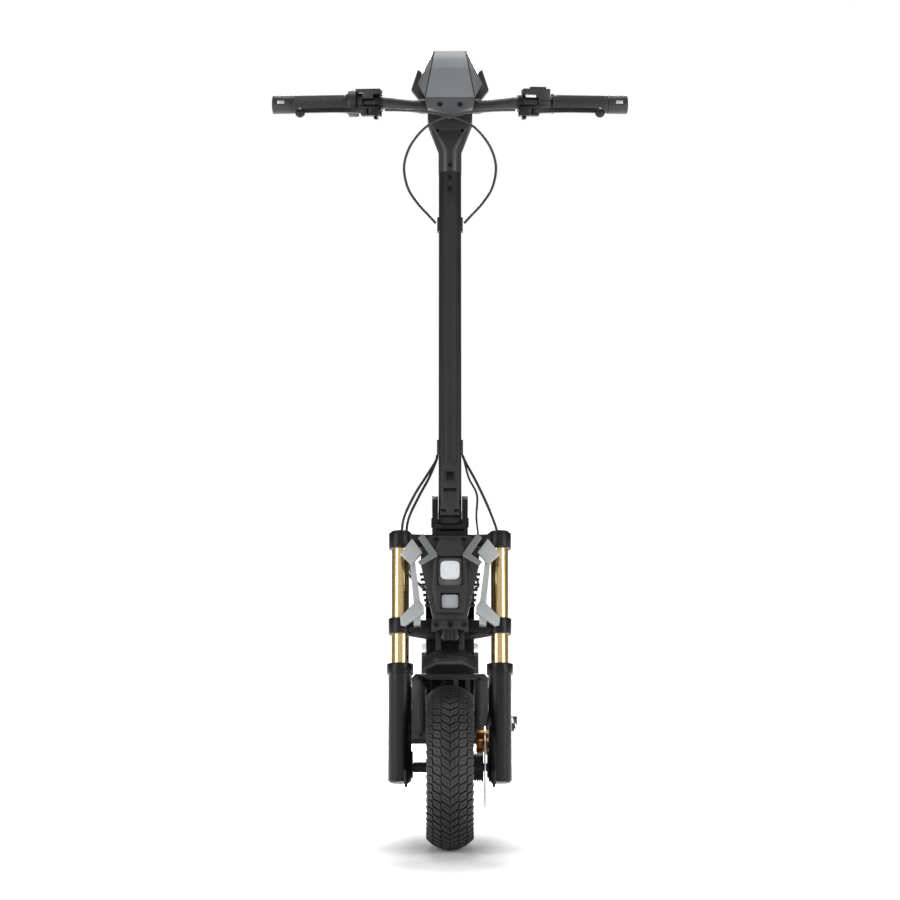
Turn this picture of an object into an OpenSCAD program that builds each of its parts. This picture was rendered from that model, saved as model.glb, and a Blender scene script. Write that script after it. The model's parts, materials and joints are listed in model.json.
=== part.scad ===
// Electric kick scooter with a twin tube front fork, a folding stem and a sprung rear wheel.
// Millimetres, +Z up, -Y is the front and +X is the rider's left.

/* [Wheels] */
// Distance between the wheel axles
wheelbase = 960; // [940:5:1160]
// Tyre outside diameter
tyre_d = 280; // [268:2:284]
// Tyre width
tyre_w = 80; // [66:1:86]
// Brake disc diameter
disc_d = 140; // [116:2:150]

/* [Fork] */
// Lean of the steering axis in degrees
rake = 14; // [12:0.5:15]
// Distance between the stanchion centres
leg_gap = 171; // [166:1:180]
// Stanchion diameter
stanchion_d = 30; // [25:1:32]
// Lower leg diameter
leg_d = 40; // [36:1:40]
// Front suspension travel
fork_travel = 45; // [30:1:48]

/* [Stem and bar] */
// Length of the stem from the axle line to the handlebar
bar_s = 1197; // [1150:5:1260]
// Stem tube diameter
stem_d = 40; // [36:1:41]
// Handlebar tube diameter
bar_d = 22; // [20:1:23]
// Half of the bar width over the end caps
bar_half = 319; // [312:1:370]
// Grip diameter
grip_d = 32; // [28:1:34]
// Backward sweep of the bar in degrees
sweep = 8.5; // [0:0.5:10]

/* [Deck] */
// Width of the deck
deck_w = 214; // [190:2:222]
// Height of the deck underside above the ground
deck_low = 165; // [158:1:172]
// Thickness of the deck frame
deck_t = 57; // [54:1:64]

/* [Hidden] */
$fn = 0;
run_fit = 0.05;
part_gap = 0.4;
hull_fn = 32;
wall = 4;

tyre_r = tyre_d / 2;
stanchion_r = stanchion_d / 2;
leg_r = leg_d / 2;
stem_r = stem_d / 2;
bar_r = bar_d / 2;
grip_r = grip_d / 2;
leg_x = leg_gap / 2;
rear_guard_r = tyre_r + 12;
front_y = -(wheelbase + rear_guard_r - tyre_r) / 2;
rear_y = front_y + wheelbase;

// Fork stations: s runs along the steering axis from the front axle, y is behind the axle.
leg_y = -20;
axis_y = 14;
leg_foot_s = -27;
seal_s = 174;
low_crown_s = 226;
top_crown_s = 376;
crown_t = 27;
head_s0 = low_crown_s + crown_t + 4;
head_s1 = top_crown_s - 4;
base_s = top_crown_s + crown_t;
fold_y = 24;
fold_s = base_s + 30;
ring_s = bar_s - 128;

// Rear suspension points
pivot_y = rear_y - 205;
pivot_z = tyre_r + 48;
deck_top = deck_low + deck_t;
deck_y0 = front_y + 160;
deck_y1 = pivot_y - 24;
shock_low = [pivot_y + 68, pivot_z + 48];
shock_top = [pivot_y - 8, pivot_z + 80];
arm_x = 58;
caliper_x = 46;

low_port_s = 565;
top_port_s = bar_s - 223;
port_h = 26;

// Bar knots
knot_x = 122;
knee_x = 52;
bar_y = front_y + axis_y * cos(rake) + bar_s * sin(rake);
bar_z = tyre_r - axis_y * sin(rake) + bar_s * cos(rake);
grip_z = bar_z + 7;
end_u = (bar_half - knot_x) / cos(sweep);
cap_u = end_u - 36;
grip_u0 = 61;

function fork_pt(y, s) = [front_y + y * cos(rake) + s * sin(rake), tyre_r - y * sin(rake) + s * cos(rake)];
function fork_xyz(x, y, s) = [x, fork_pt(y, s)[0], fork_pt(y, s)[1]];

// Shared helpers
module in_fork(y = 0, s = 0) {
  translate([0, front_y, tyre_r]) rotate([-rake, 0, 0]) translate([0, y, s]) children();
}

module both_sides() {
  children();
  mirror([1, 0, 0]) children();
}

module x_rod(r, l) {
  rotate([0, 90, 0]) cylinder(r = r, h = l, center = true);
}

module x_tube(r, bore_r, l) {
  difference() {
    x_rod(r, l);
    x_rod(bore_r, l + 2);
  }
}

module y_rod(r, l) {
  rotate([90, 0, 0]) cylinder(r = r, h = l, center = true);
}

module rod(a, b, r) {
  d = b - a;
  translate(a) rotate([0, acos(d[2] / norm(d)), atan2(d[1], d[0])]) cylinder(r = r, h = norm(d));
}

// A flat plate drawn in the side view (y, z) and given a width along X
module side_plate(points, w) {
  translate([-w / 2, 0, 0]) rotate([90, 0, 90]) linear_extrude(w) polygon(points);
}

// A flat plate drawn in the front view (x, z) and given a depth along Y from y0 backwards
module front_plate(points, y0, d) {
  translate([0, y0 + d, 0]) rotate([90, 0, 0]) linear_extrude(d) polygon(points);
}

module mark(p) {
  translate(p) cube(0.6, center = true);
}

// Position on the outer, swept part of the bar at the viewer's right; u runs outwards
module on_bar(u = 0) {
  translate([knot_x, bar_y, grip_z]) rotate([0, 0, sweep]) translate([u, 0, 0]) children();
}

module on_bar_left(u = 0) {
  mirror([1, 0, 0]) on_bar(u) children();
}

// Round cord swept along route points
cord_sides = 8;
cord_steps = 7;
function bend(p, i, t) =
  let (a = p[max(i - 1, 0)], b = p[i], c = p[i + 1], d = p[min(i + 2, len(p) - 1)])
  0.5 * (2 * b + (c - a) * t + (2 * a - 5 * b + 4 * c - d) * t * t + (3 * b - a - 3 * c + d) * t * t * t);
function route(p) = concat(
  [for (i = [0 : len(p) - 2]) for (k = [0 : cord_steps - 1]) bend(p, i, k / cord_steps)],
  [p[len(p) - 1]]);
function unit(v) = v / norm(v);
function heading(q, i) = unit(q[min(i + 1, len(q) - 1)] - q[max(i - 1, 0)]);
function ring_at(q, i, r) =
  let (t = heading(q, i), n = unit(cross([0, 1, 0], t)), m = cross(t, n))
  [for (k = [0 : cord_sides - 1]) q[i] + r * (cos(360 * k / cord_sides) * n + sin(360 * k / cord_sides) * m)];

module cord(p, r) {
  q = route(p);
  n = len(q);
  m = cord_sides;
  points = [for (i = [0 : n - 1]) each ring_at(q, i, r)];
  walls = [for (i = [0 : n - 2]) for (k = [0 : m - 1])
    [i * m + k, (i + 1) * m + k, (i + 1) * m + (k + 1) % m, i * m + (k + 1) % m]];
  first = [for (k = [0 : m - 1]) k];
  last = [for (k = [m - 1 : -1 : 0]) (n - 1) * m + k];
  polyhedron(points = points, faces = concat(walls, [first], [last]));
}

// ---- Frame and deck ----
neck_w = 84;
nose_w = 138;
function deck_outline(w) = [
  [-nose_w / 2 + w, deck_y0 + w], [nose_w / 2 - w, deck_y0 + w],
  [deck_w / 2 - w, deck_y0 + 110], [deck_w / 2 - w, deck_y1 - 70],
  [72 - w, deck_y1 - w], [-72 + w, deck_y1 - w],
  [-deck_w / 2 + w, deck_y1 - 70], [-deck_w / 2 + w, deck_y0 + 110]];
stand_y = deck_y0 + 190;
cap_y = deck_y0 + 420;
stand_x = deck_w / 2 + 5.2;
stand_z = deck_low + 14;
socket_z = deck_low + deck_t / 2;

module neck_block() {
  side_plate([
    fork_pt(axis_y, head_s0 + 4), fork_pt(axis_y, head_s1 - 4), fork_pt(axis_y + 46, head_s1 - 4),
    [deck_y0 + 36, deck_top + 178], [deck_y0 + 86, deck_top + 78], [deck_y0 + 122, deck_top],
    [deck_y0 + 122, deck_top - 20], [deck_y0 + 2, deck_top - 20],
    [deck_y0 - 12, deck_top + 66], [deck_y0 - 24, deck_top + 108], fork_pt(axis_y + 46, head_s0 + 4)], neck_w);
}

module frame_shell() {
  color("#1b1c1e") difference() {
    union() {
      in_fork(axis_y, head_s0) cylinder(r = 27, h = head_s1 - head_s0);
      neck_block();
      translate([0, 0, deck_low]) linear_extrude(deck_t) polygon(deck_outline(0));
      for (x = [-72, 72]) translate([x, 0, 0]) rotate([90, 0, 90]) linear_extrude(12, center = true)
        polygon([[deck_y1 - 40, pivot_z - 20], [pivot_y, pivot_z - 15], [pivot_y, pivot_z + 15], [deck_y1 - 40, pivot_z + 30]]);
      for (x = [-72, 72]) translate([x, pivot_y, pivot_z]) x_rod(15, 12);
      translate([deck_w / 2 - 2, stand_y, stand_z]) x_rod(12, 4);
      translate([deck_w / 2, cap_y, socket_z]) x_rod(15, 6);
    }
    in_fork(axis_y, head_s0 - 1) cylinder(r = 21, h = head_s1 - head_s0 + 2);
    translate([0, 0, deck_low - 1]) linear_extrude(deck_t - wall + 1) polygon(deck_outline(wall));
    translate([deck_w / 2 - 4, cap_y, socket_z]) x_rod(9, 20);
  }
  color("#2b2c2f") {
    translate([0, pivot_y, pivot_z]) x_rod(8, 160);
    both_sides() translate([80, pivot_y, pivot_z]) x_rod(11, 4);
    translate([stand_x, stand_y, stand_z]) x_rod(3, 14);
    translate([stand_x + 6.2, stand_y, stand_z]) x_rod(6, 2);
  }
}

module deck_mat() {
  color("#161617") difference() {
    translate([0, 0, deck_top]) linear_extrude(3) polygon([
      [-50, deck_y0 + 130], [50, deck_y0 + 130], [deck_w / 2 - 12, deck_y0 + 170],
      [deck_w / 2 - 12, deck_y1 - 84], [60, deck_y1 - 50], [-60, deck_y1 - 50],
      [-deck_w / 2 + 12, deck_y1 - 84], [-deck_w / 2 + 12, deck_y0 + 170]]);
    for (x = [-72 : 16 : 72]) translate([x, (deck_y0 + deck_y1) / 2 + 30, deck_top + 3])
      cube([6, deck_y1 - deck_y0 - 290, 2.4], center = true);
  }
}

module bottom_cover() {
  color("#202124") difference() {
    translate([0, 0, deck_low]) linear_extrude(3) polygon(deck_outline(wall + part_gap));
    for (x = [-75, 75]) for (y = [deck_y0 + 130, deck_y1 - 90])
      translate([x, y, deck_low - 1]) cylinder(r = 3, h = 6);
  }
}

slot_pitch = 20.5;
slot_w = 12.5;
nose_z0 = deck_low + 10;
nose_z1 = deck_top + 67;
function nose_front(z) = deck_y0 - 4.5 - 14 * (z - nose_z0) / (nose_z1 - nose_z0);
module nose_grille() {
  color("#17181a") difference() {
    side_plate([
      [nose_front(nose_z0), nose_z0], [deck_y0 - part_gap, nose_z0],
      [deck_y0 - part_gap, deck_top - 21], [deck_y0 - 14, nose_z1], [nose_front(nose_z1), nose_z1]], nose_w - 4);
    for (i = [-3 : 3]) translate([i * slot_pitch, deck_y0 - 24, deck_low + 68]) cube([slot_w, 40, 92], center = true);
    for (x = [-1, 1]) translate([x * (nose_w / 2 + 2), deck_y0, deck_top + 72]) rotate([0, 45, 0]) cube([24, 80, 24], center = true);
  }
  color("#17181a") both_sides() difference() {
    translate([(neck_w + nose_w) / 4 - 0.8, 0, 0]) side_plate([
      [deck_y0 - 4, deck_top + part_gap], [deck_y0 + 24, deck_top + part_gap],
      [deck_y0 + 10, nose_z1 - 1], [deck_y0 - 14, nose_z1 - 1], [deck_y0 - 14, deck_top + 40]], (nose_w - neck_w) / 2 - 2.8);
    translate([nose_w / 2 + 2, deck_y0, deck_top + 72]) rotate([0, 45, 0]) cube([24, 80, 24], center = true);
  }
}

module battery_pack() {
  color("#2b4a6b") translate([-80, deck_y0 + 190, deck_low + 3.3]) cube([160, deck_y1 - deck_y0 - 290, deck_t - wall - 5]);
}

module controller() {
  color("#8a8d90") {
    translate([-60, deck_y0 + 60, deck_low + 3.3]) cube([120, 110, 30]);
    for (x = [-50 : 20 : 50]) translate([x - 2, deck_y0 + 60, deck_low + 33.3]) cube([4, 110, 8]);
  }
}

module headset_bearings() {
  color("#9a9da0") for (s = [head_s0, head_s1 - 12]) in_fork(axis_y, s) difference() {
    cylinder(r = 21, h = 12);
    translate([0, 0, -1]) cylinder(r = 15 + run_fit, h = 14);
  }
}

module kick_plate() {
  color("#1d1e20") {
    side_plate([
      [deck_y1 - 50, deck_top], [deck_y1, shock_top[1] + 22], [pivot_y + 72, shock_top[1] + 34],
      [pivot_y + 74, shock_top[1] + 30], [deck_y1 + 6, shock_top[1] + 16], [deck_y1 - 20, deck_top]], 110);
    for (x = [-1, 1]) translate([x * 49, 0, 0]) rotate([90, 0, 90]) linear_extrude(6, center = true)
      polygon([[deck_y1 - 46, deck_top], [deck_y1 + 2, shock_top[1] + 20], [pivot_y + 40, shock_top[1] + 27],
        [pivot_y + 10, shock_top[1] - 14], [deck_y1 - 2, deck_top]]);
    translate([0, shock_top[0], shock_top[1]]) x_rod(5, 106);
  }
}

module charge_cap() {
  color("#232426") {
    translate([deck_w / 2 + 5.3, cap_y, socket_z]) x_rod(13, 4);
    translate([deck_w / 2 + 6, cap_y, socket_z + 16]) y_rod(2.6, 7);
    translate([deck_w / 2 + 5.3, cap_y, socket_z + 13]) cube([4, 8, 8], center = true);
  }
}

module kickstand() {
  color("#202124") translate([stand_x, stand_y, stand_z]) {
    difference() {
      x_rod(8.5, 9);
      x_rod(3 + run_fit, 12);
    }
    translate([0, 70, 0]) cube([9, 126, 13], center = true);
    translate([4, 138, 0]) cube([17, 16, 16], center = true);
  }
}

module frame_screws() {
  color("#55585b") {
    for (x = [-75, 75]) for (y = [deck_y0 + 130, deck_y1 - 90]) translate([x, y, deck_low - 2]) {
      cylinder(r = 2.6, h = 6);
      cylinder(r = 5, h = 1.8);
    }
    for (x = [-2.5, 2.5]) for (z = [deck_low + 16, deck_top + 58])
      translate([x * slot_pitch, nose_front(z) - 1.1, z]) y_rod(3, 1.4);
  }
}

// ---- Rear end ----
module swingarm() {
  color("#1b1c1e") difference() {
    union() {
      translate([0, pivot_y, pivot_z]) x_rod(14, 2 * arm_x + 8);
      both_sides() translate([arm_x, 0, 0]) rotate([90, 0, 90]) linear_extrude(12, center = true) polygon([
        [pivot_y, pivot_z - 14], [rear_y, tyre_r - 16], [rear_y + 20, tyre_r - 16],
        [rear_y + 22, tyre_r + 12], [rear_y - 10, tyre_r + 18], [pivot_y + 20, pivot_z + 14]]);
      translate([0, pivot_y + 20, pivot_z + 4]) cube([2 * arm_x, 26, 14], center = true);
      both_sides() translate([20, 0, 0]) rotate([90, 0, 90]) linear_extrude(8, center = true) polygon([
        [pivot_y + 4, pivot_z + 10], [shock_low[0] - 10, shock_low[1] - 2], [shock_low[0] - 8, shock_low[1] + 9],
        [shock_low[0] + 9, shock_low[1] + 9], [shock_low[0] + 9, shock_low[1] - 9], [pivot_y + 32, pivot_z - 2]]);
      translate([0, shock_low[0], shock_low[1]]) x_rod(3.5, 50);
      both_sides() translate([25.5, shock_low[0], shock_low[1]]) x_rod(6, 3);
      translate([caliper_x + 11.2, rear_y - 37, tyre_r + 40]) cube([7, 22, 44], center = true);
    }
    translate([0, pivot_y, pivot_z]) x_rod(8 + run_fit, 2 * arm_x + 20);
    translate([0, rear_y, tyre_r]) x_rod(6, 2 * arm_x + 20);
  }
}

module rear_guard() {
  color("#161718") {
    translate([0, rear_y, tyre_r]) rotate([0, -90, 0]) rotate([0, 0, -32]) rotate_extrude(angle = 124)
      polygon([[rear_guard_r - 9, -46], [rear_guard_r - 3.5, -24], [rear_guard_r - 3.5, 24], [rear_guard_r - 9, 46],
        [rear_guard_r - 5.5, 46], [rear_guard_r, 24], [rear_guard_r, -24], [rear_guard_r - 5.5, -46]]);
    both_sides() rod([56, rear_y + 6, tyre_r + 15.6], [46.5, rear_y + 48, tyre_r + rear_guard_r - 16], 3);
  }
}

module tail_light() {
  color("#a4141a") translate([0, rear_y, tyre_r]) rotate([0, -90, 0]) rotate([0, 0, 35])
    translate([rear_guard_r + 2.6, 0, 0]) cube([5, 22, 40], center = true);
}

module rear_axle() {
  color("#6d7073") translate([0, rear_y, tyre_r]) {
    x_rod(6, 2 * arm_x + 22);
    both_sides() translate([arm_x + 10, 0, 0]) x_rod(11, 7);
  }
}

module hub_motor() {
  color("#242528") translate([0, rear_y, tyre_r]) rotate([0, 90, 0]) {
    difference() {
      rotate_extrude() polygon([
        [6 + run_fit, -44.8], [20, -44.8], [24, -36], [62, -30], [66, -22], [80, -34], [84, -34], [84, -30], [78, -20],
        [78, 20], [84, 30], [84, 34], [80, 34], [66, 22], [62, 30], [24, 36], [20, 44.8], [6 + run_fit, 44.8]]);
      for (a = [0 : 40 : 320]) rotate([0, 0, a]) translate([50, 0, 31]) cylinder(r = 4, h = 10);
    }
  }
}

module tyre_shape() {
  w = tyre_w / 2;
  difference() {
    rotate([0, 90, 0]) rotate_extrude() polygon([
      [84.3, -30], [96, -w + 4], [tyre_r - 22, -w], [tyre_r - 10, -w + 5], [tyre_r - 3, -w + 16], [tyre_r, -6],
      [tyre_r, 6], [tyre_r - 3, w - 16], [tyre_r - 10, w - 5], [tyre_r - 22, w], [96, w - 4], [84.3, 30],
      [87.5, 24], [104, 30], [tyre_r - 14, 22], [tyre_r - 12, 0], [tyre_r - 14, -22], [104, -30], [87.5, -24]]);
    rotate([0, 90, 0]) for (x = [-w + 12, 0, w - 12]) translate([0, 0, x]) rotate_extrude()
      translate([tyre_r - 4 - abs(x) / 6, -1.5]) square([12, 3]);
  }
}

module rear_tyre() {
  color("#141415") translate([0, rear_y, tyre_r]) tyre_shape();
}

module disc_shape() {
  r = disc_d / 2;
  rotate([0, 90, 0]) difference() {
    cylinder(r = r, h = 2, center = true);
    cylinder(r = 16, h = 4, center = true);
    for (a = [0 : 60 : 300]) rotate([0, 0, a]) {
      translate([22, 0, 0]) cylinder(r = 2.6, h = 4, center = true);
      rotate([0, 0, 30]) translate([38, 0, 0]) cylinder(r = 9, h = 4, center = true);
    }
    for (a = [0 : 30 : 330]) rotate([0, 0, a]) {
      translate([r - 7, 0, 0]) cylinder(r = 2, h = 4, center = true);
      rotate([0, 0, 15]) translate([r - 13, 0, 0]) cylinder(r = 2, h = 4, center = true);
    }
  }
}

module rear_disc() {
  color("#b9bcbf") translate([caliper_x, rear_y, tyre_r]) disc_shape();
}

module caliper_shape(inner_l, outer_l) {
  translate([-1.6 - inner_l / 2, 0, 0]) x_rod(14, inner_l);
  translate([1.6 + outer_l / 2, 0, 0]) x_rod(14, outer_l);
  translate([(outer_l - inner_l) / 2, 0, 16.5]) cube([inner_l + outer_l + 3.2, 40, 10], center = true);
}

module rear_caliper() {
  color("#b98b4a") translate([caliper_x, rear_y, tyre_r]) rotate([38, 0, 0]) translate([0, 0, disc_d / 2 - 10]) caliper_shape(5, 6);
}

shock_lean = atan2(shock_top[1] - shock_low[1], shock_low[0] - shock_top[0]);
module shock_body() {
  color("#303236") translate([0, shock_top[0], shock_top[1]]) rotate([-shock_lean, 0, 0]) difference() {
    union() {
      x_rod(9, 22);
      translate([0, 28, 0]) y_rod(13, 52);
    }
    x_rod(5 + run_fit, 28);
    translate([0, 34, 0]) y_rod(6 + run_fit, 50);
  }
}

module shock_shaft() {
  color("#c9ccd0") translate([0, shock_low[0], shock_low[1]]) rotate([-shock_lean, 0, 0]) difference() {
    union() {
      x_rod(8.5, 22);
      translate([0, -32, 0]) y_rod(6, 52);
    }
    x_rod(4.2, 24);
  }
}

// ---- Steering: crowns, stanchions, lamp and mudguard ----
module crown(s, steerer_r) {
  in_fork(0, s) difference() {
    union() {
      both_sides() translate([leg_x, leg_y, 0]) cylinder(r = 20, h = crown_t);
      translate([0, 0, 3]) linear_extrude(crown_t - 6) polygon([
        [-leg_x, leg_y - 16], [-48, leg_y - 8], [48, leg_y - 8], [leg_x, leg_y - 16], [leg_x, leg_y + 17],
        [40, axis_y + 26], [-40, axis_y + 26], [-leg_x, leg_y + 17]]);
    }
    both_sides() translate([leg_x, leg_y, -1]) cylinder(r = stanchion_r, h = crown_t + 2);
    translate([0, axis_y, -1]) cylinder(r = steerer_r, h = crown_t + 2);
    clamp_bolts();
  }
}

// Two pinch bolts behind each crown clamp
module clamp_bolts() {
  both_sides() for (s = [9, 19]) translate([leg_x - 22, leg_y + 19, s]) y_rod(3.2, 12);
}

module lower_crown() {
  color("#1a1b1d") {
    crown(low_crown_s, 15);
    in_fork(axis_y, low_crown_s) difference() {
      cylinder(r = 15, h = base_s - low_crown_s + 4);
      translate([0, 0, -1]) cylinder(r = 12, h = base_s - low_crown_s + 6);
    }
  }
}

module upper_crown() {
  color("#1a1b1d") crown(top_crown_s, 15);
}

module stanchions() {
  color("#c99a52") in_fork() both_sides() translate([leg_x, leg_y, 70]) difference() {
    cylinder(r = stanchion_r, h = base_s - 70 - 0.3);
    translate([0, 0, -1]) cylinder(r = stanchion_r - 2.5, h = base_s - 70 - 20);
  }
}

lamp_y = leg_y - 20;
crown_front_y = leg_y - 8;
lamp_depth = crown_front_y - part_gap - lamp_y + 18;
lens_s = 329;
low_lens_s = 274.5;
module lamp_housing() {
  color("#18191b") in_fork() {
    difference() {
      union() {
        front_plate([[-28, 246], [28, 246], [31, 258], [50, 344], [50, 366], [36, 391], [-36, 391], [-50, 366],
          [-50, 344], [-31, 258]], lamp_y - 18, lamp_depth);
        front_plate([[-24, 254], [24, 254], [30, 294], [27, 358], [18, 380], [-18, 380], [-27, 358], [-30, 294]], lamp_y - 34, 17);
        front_plate([[-32, 229], [32, 229], [32, 247], [-32, 247]], lamp_y - 12, lamp_depth - 6);
      }
      translate([0, lamp_y - 30, lens_s - 2]) cube([44, 20, 52], center = true);
      translate([0, lamp_y - 30, low_lens_s]) cube([32, 20, 28], center = true);
      for (x = [-24, 24]) translate([x, lamp_y - 18, 386]) y_rod(3, 8);
    }
    both_sides() for (i = [0 : 6]) translate([37.5 + i * 1.5, lamp_y - 6, 272 + i * 9]) cube([11, 6, 4], center = true);
    translate([0, lamp_y + 6, 217.9]) cube([27, 30, 14], center = true);
    translate([0, lamp_y - 2, 226]) cube([27, 14, 12], center = true);
    for (i = [-1.5 : 1 : 1.5]) translate([i * 6.5, lamp_y - 11, 219]) cube([3.4, 4, 18], center = true);
  }
}

module lamp_lenses() {
  color("#eef2f5") in_fork() {
    translate([0, lamp_y - 25, lens_s]) cube([35, 9, 33], center = true);
    translate([0, lamp_y - 25, low_lens_s]) cube([30, 9, 25], center = true);
  }
}

module lamp_chevrons() {
  color("#77797b") in_fork() both_sides()
    front_plate([[55, 384], [46, 391], [22, 356], [22, 351], [50, 335], [55, 342], [36, 355]], lamp_y - 38, 4);
}

module side_blades() {
  color("#b4b6b7") in_fork() both_sides() {
    front_plate([[65, 384], [85, 358], [66, 339], [47, 360]], lamp_y - 28.5, 10);
    front_plate([[60, 346], [69, 346], [61, 262], [58, 252], [44, 256], [45, 268], [51, 276]], lamp_y - 23, 10);
    front_plate([[44, 256], [57, 277], [85, 247], [84, 235], [76, 233], [55, 248]], lamp_y - 26, 12);
    front_plate([[50, 236], [62, 236], [62, 250], [50, 250]], lamp_y - 20, 26);
  }
}

guard_lift = fork_travel;
guard_r = tyre_r + 12;
guard_hang = low_crown_s + 3 - guard_lift - 0.3;
module front_guard() {
  color("#1a1b1c") in_fork(0, guard_lift) {
    rotate([0, -90, 0]) rotate([0, 0, -41]) rotate_extrude(angle = 62)
      polygon([[guard_r - 12, -46], [guard_r, -22], [guard_r, 22], [guard_r - 12, 46],
        [guard_r - 8.5, 46], [guard_r + 3.5, 22], [guard_r + 3.5, -22], [guard_r - 8.5, -46]]);
    for (x = [-1, 1]) translate([x * 20, -18, (guard_r + guard_hang) / 2 - 1]) cube([9, 40, guard_hang - guard_r + 2], center = true);
  }
}

cheek_x0 = stem_r + 0.8;
hub_w = 2 * stem_r + 0.8;
module fold_base() {
  color("#1c1d1f") in_fork() {
    difference() {
      union() {
        translate([0, fold_y - 8, base_s + 3]) cube([62, 60, 6], center = true);
        both_sides() translate([(cheek_x0 + 31) / 2, 0, 0]) rotate([90, 0, 90]) linear_extrude(31 - cheek_x0, center = true) polygon([
          [fold_y - 36, base_s], [fold_y + 20, base_s], [fold_y + 20, base_s + 62], [fold_y + 12, base_s + 71],
          [fold_y - 28, base_s + 71], [fold_y - 36, base_s + 63]]);
        translate([0, fold_y - 34, base_s + 13]) x_rod(6, 50);
      }
      translate([0, axis_y, base_s - 1]) cylinder(r = 15, h = 5);
    }
    translate([0, fold_y, fold_s]) {
      x_rod(6, 54);
      both_sides() translate([31.7, 0, 0]) x_rod(9, 2.4);
    }
  }
}

module crown_bolts() {
  color("#2c2d30") in_fork() {
    for (s = [low_crown_s, top_crown_s]) translate([0, 0, s]) clamp_bolts();
    both_sides() {
      translate([24, lamp_y - 18, 386]) y_rod(3, 8);
      translate([24, lamp_y - 14, 237]) y_rod(4, 4);
    }
    translate([0, lamp_y - 15, 237]) y_rod(5, 6);
    both_sides() translate([leg_x, leg_y, base_s]) cylinder(r1 = 17.5, r2 = 14, h = 3.5);
  }
}

// ---- Fork lowers and front wheel ----
drop_x = 63;
module lower_legs() {
  color("#1b1c1e") in_fork() {
    both_sides() {
      difference() {
        union() {
          translate([leg_x, leg_y, leg_foot_s]) cylinder(r = leg_r, h = seal_s - leg_foot_s - 6);
          translate([leg_x, leg_y, seal_s - 17]) cylinder(r = leg_r + 2.5, h = 17);
          translate([leg_x, leg_y, leg_foot_s - 2.5]) cylinder(r = leg_r - 3, h = 3);
          translate([drop_x + 8, 0, 0]) x_rod(15, 16);
          translate([drop_x + 8, -12, 2]) cube([16, 24, 44], center = true);
        }
        translate([leg_x, leg_y, 20]) cylinder(r = stanchion_r + run_fit, h = seal_s);
        translate([drop_x, 0, 0]) x_rod(7, 60);
      }
      translate([leg_x - 11, leg_y - 15, leg_foot_s - 12]) {
        cylinder(r = 2.5, h = 5);
        translate([0, 0, 4]) cylinder(r1 = 2.5, r2 = 5, h = 6);
        translate([0, 0, 10]) cylinder(r = 5, h = 18);
      }
    }
    translate([70.3, 18, 44]) cube([8, 52, 14], center = true);
  }
}

module front_axle() {
  color("#26272a") in_fork() {
    x_rod(7, 2 * drop_x + 30);
    translate([-50.5, 0, 0]) x_rod(9, 24);
  }
}

module front_caliper() {
  color("#c08a42") in_fork() translate([59.5, 43, 43]) rotate([-45, 0, 0]) {
    translate([-8.1, 0, -2]) x_rod(14, 12);
    translate([4.1, 0, -2]) x_rod(14, 5);
    translate([-4, 0, 14.5]) cube([21, 40, 9], center = true);
  }
}

module front_tyre() {
  color("#141415") in_fork() tyre_shape();
}

module front_hub() {
  color("#1d1e20") in_fork() rotate([0, 90, 0]) {
    difference() {
      union() {
        rotate_extrude() polygon([[72, -22], [80, -34], [84, -34], [84, -30], [78, -20], [78, 20], [84, 30], [84, 34], [80, 34], [72, 22]]);
        cylinder(r = 24, h = 76, center = true);
        translate([0, 0, 36]) cylinder(r = 25, h = 21);
        for (a = [0 : 72 : 288]) rotate([0, 0, a]) translate([48, 0, 0]) cube([54, 16, 30], center = true);
      }
      cylinder(r = 7 + run_fit, h = 130, center = true);
      for (z = [40 : 4 : 52]) translate([0, 0, z]) difference() {
        cylinder(r = 30, h = 1.8);
        translate([0, 0, -1]) cylinder(r = 22.5, h = 4);
      }
    }
  }
}

module front_disc() {
  color("#b9bcbf") in_fork() translate([59.5, 0, 0]) disc_shape();
}

// ---- Stem, bar and controls ----
module stem_tube() {
  color("#1a1b1c") in_fork() {
    difference() {
      union() {
        translate([0, axis_y, fold_s + 8]) cylinder(r = stem_r, h = ring_s - fold_s - 8);
        translate([0, fold_y - 4, fold_s + 6]) cube([hub_w, 34, 12], center = true);
        translate([0, fold_y, fold_s]) x_rod(20, hub_w);
        both_sides() for (s = [low_port_s, top_port_s]) translate([stem_r, axis_y, s]) cube([5.8, 12, port_h], center = true);
        translate([0, axis_y - stem_r - 2, fold_s + 34]) cube([26, 8, 40], center = true);
        for (x = [-12, 12]) translate([x, axis_y - stem_r - 6, fold_s + 8]) x_rod(5.5, 10);
        translate([0, axis_y - stem_r, fold_s + 10]) cube([34, 10, 12], center = true);
      }
      translate([0, axis_y, fold_s + 40]) cylinder(r = stem_r - 3, h = ring_s - fold_s);
      translate([0, fold_y, fold_s]) x_rod(6 + run_fit, 60);
      translate([0, axis_y - stem_r - 6, fold_s + 8]) x_rod(2.5, 60);
      translate([0, axis_y - stem_r - 6, fold_s + 8]) cube([14.6, 12.4, 16], center = true);
    }
    translate([0, axis_y - stem_r - 6, fold_s + 8]) x_rod(2.5, 34);
  }
}

head_w = 40;
module stem_head() {
  color("#1b1c1e") in_fork(axis_y, 0) difference() {
    union() {
      translate([0, 0, ring_s]) cylinder(r = stem_r + 0.6, h = 42);
      hull() {
        translate([0, 0, ring_s + 40]) cylinder(r = stem_r + 0.6, h = 1, $fn = hull_fn);
        translate([0, 0, bar_s - 28]) cube([2 * head_w, 46, 2], center = true);
      }
      translate([0, 0, bar_s - 8]) cube([2 * head_w, 46, 40], center = true);
    }
    translate([0, 0, bar_s]) x_rod(bar_r + bar_swell + run_fit, 100);
    for (x = [-22, 22]) translate([x, -20, bar_s - 52]) y_rod(3, 20);
  }
}

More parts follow.
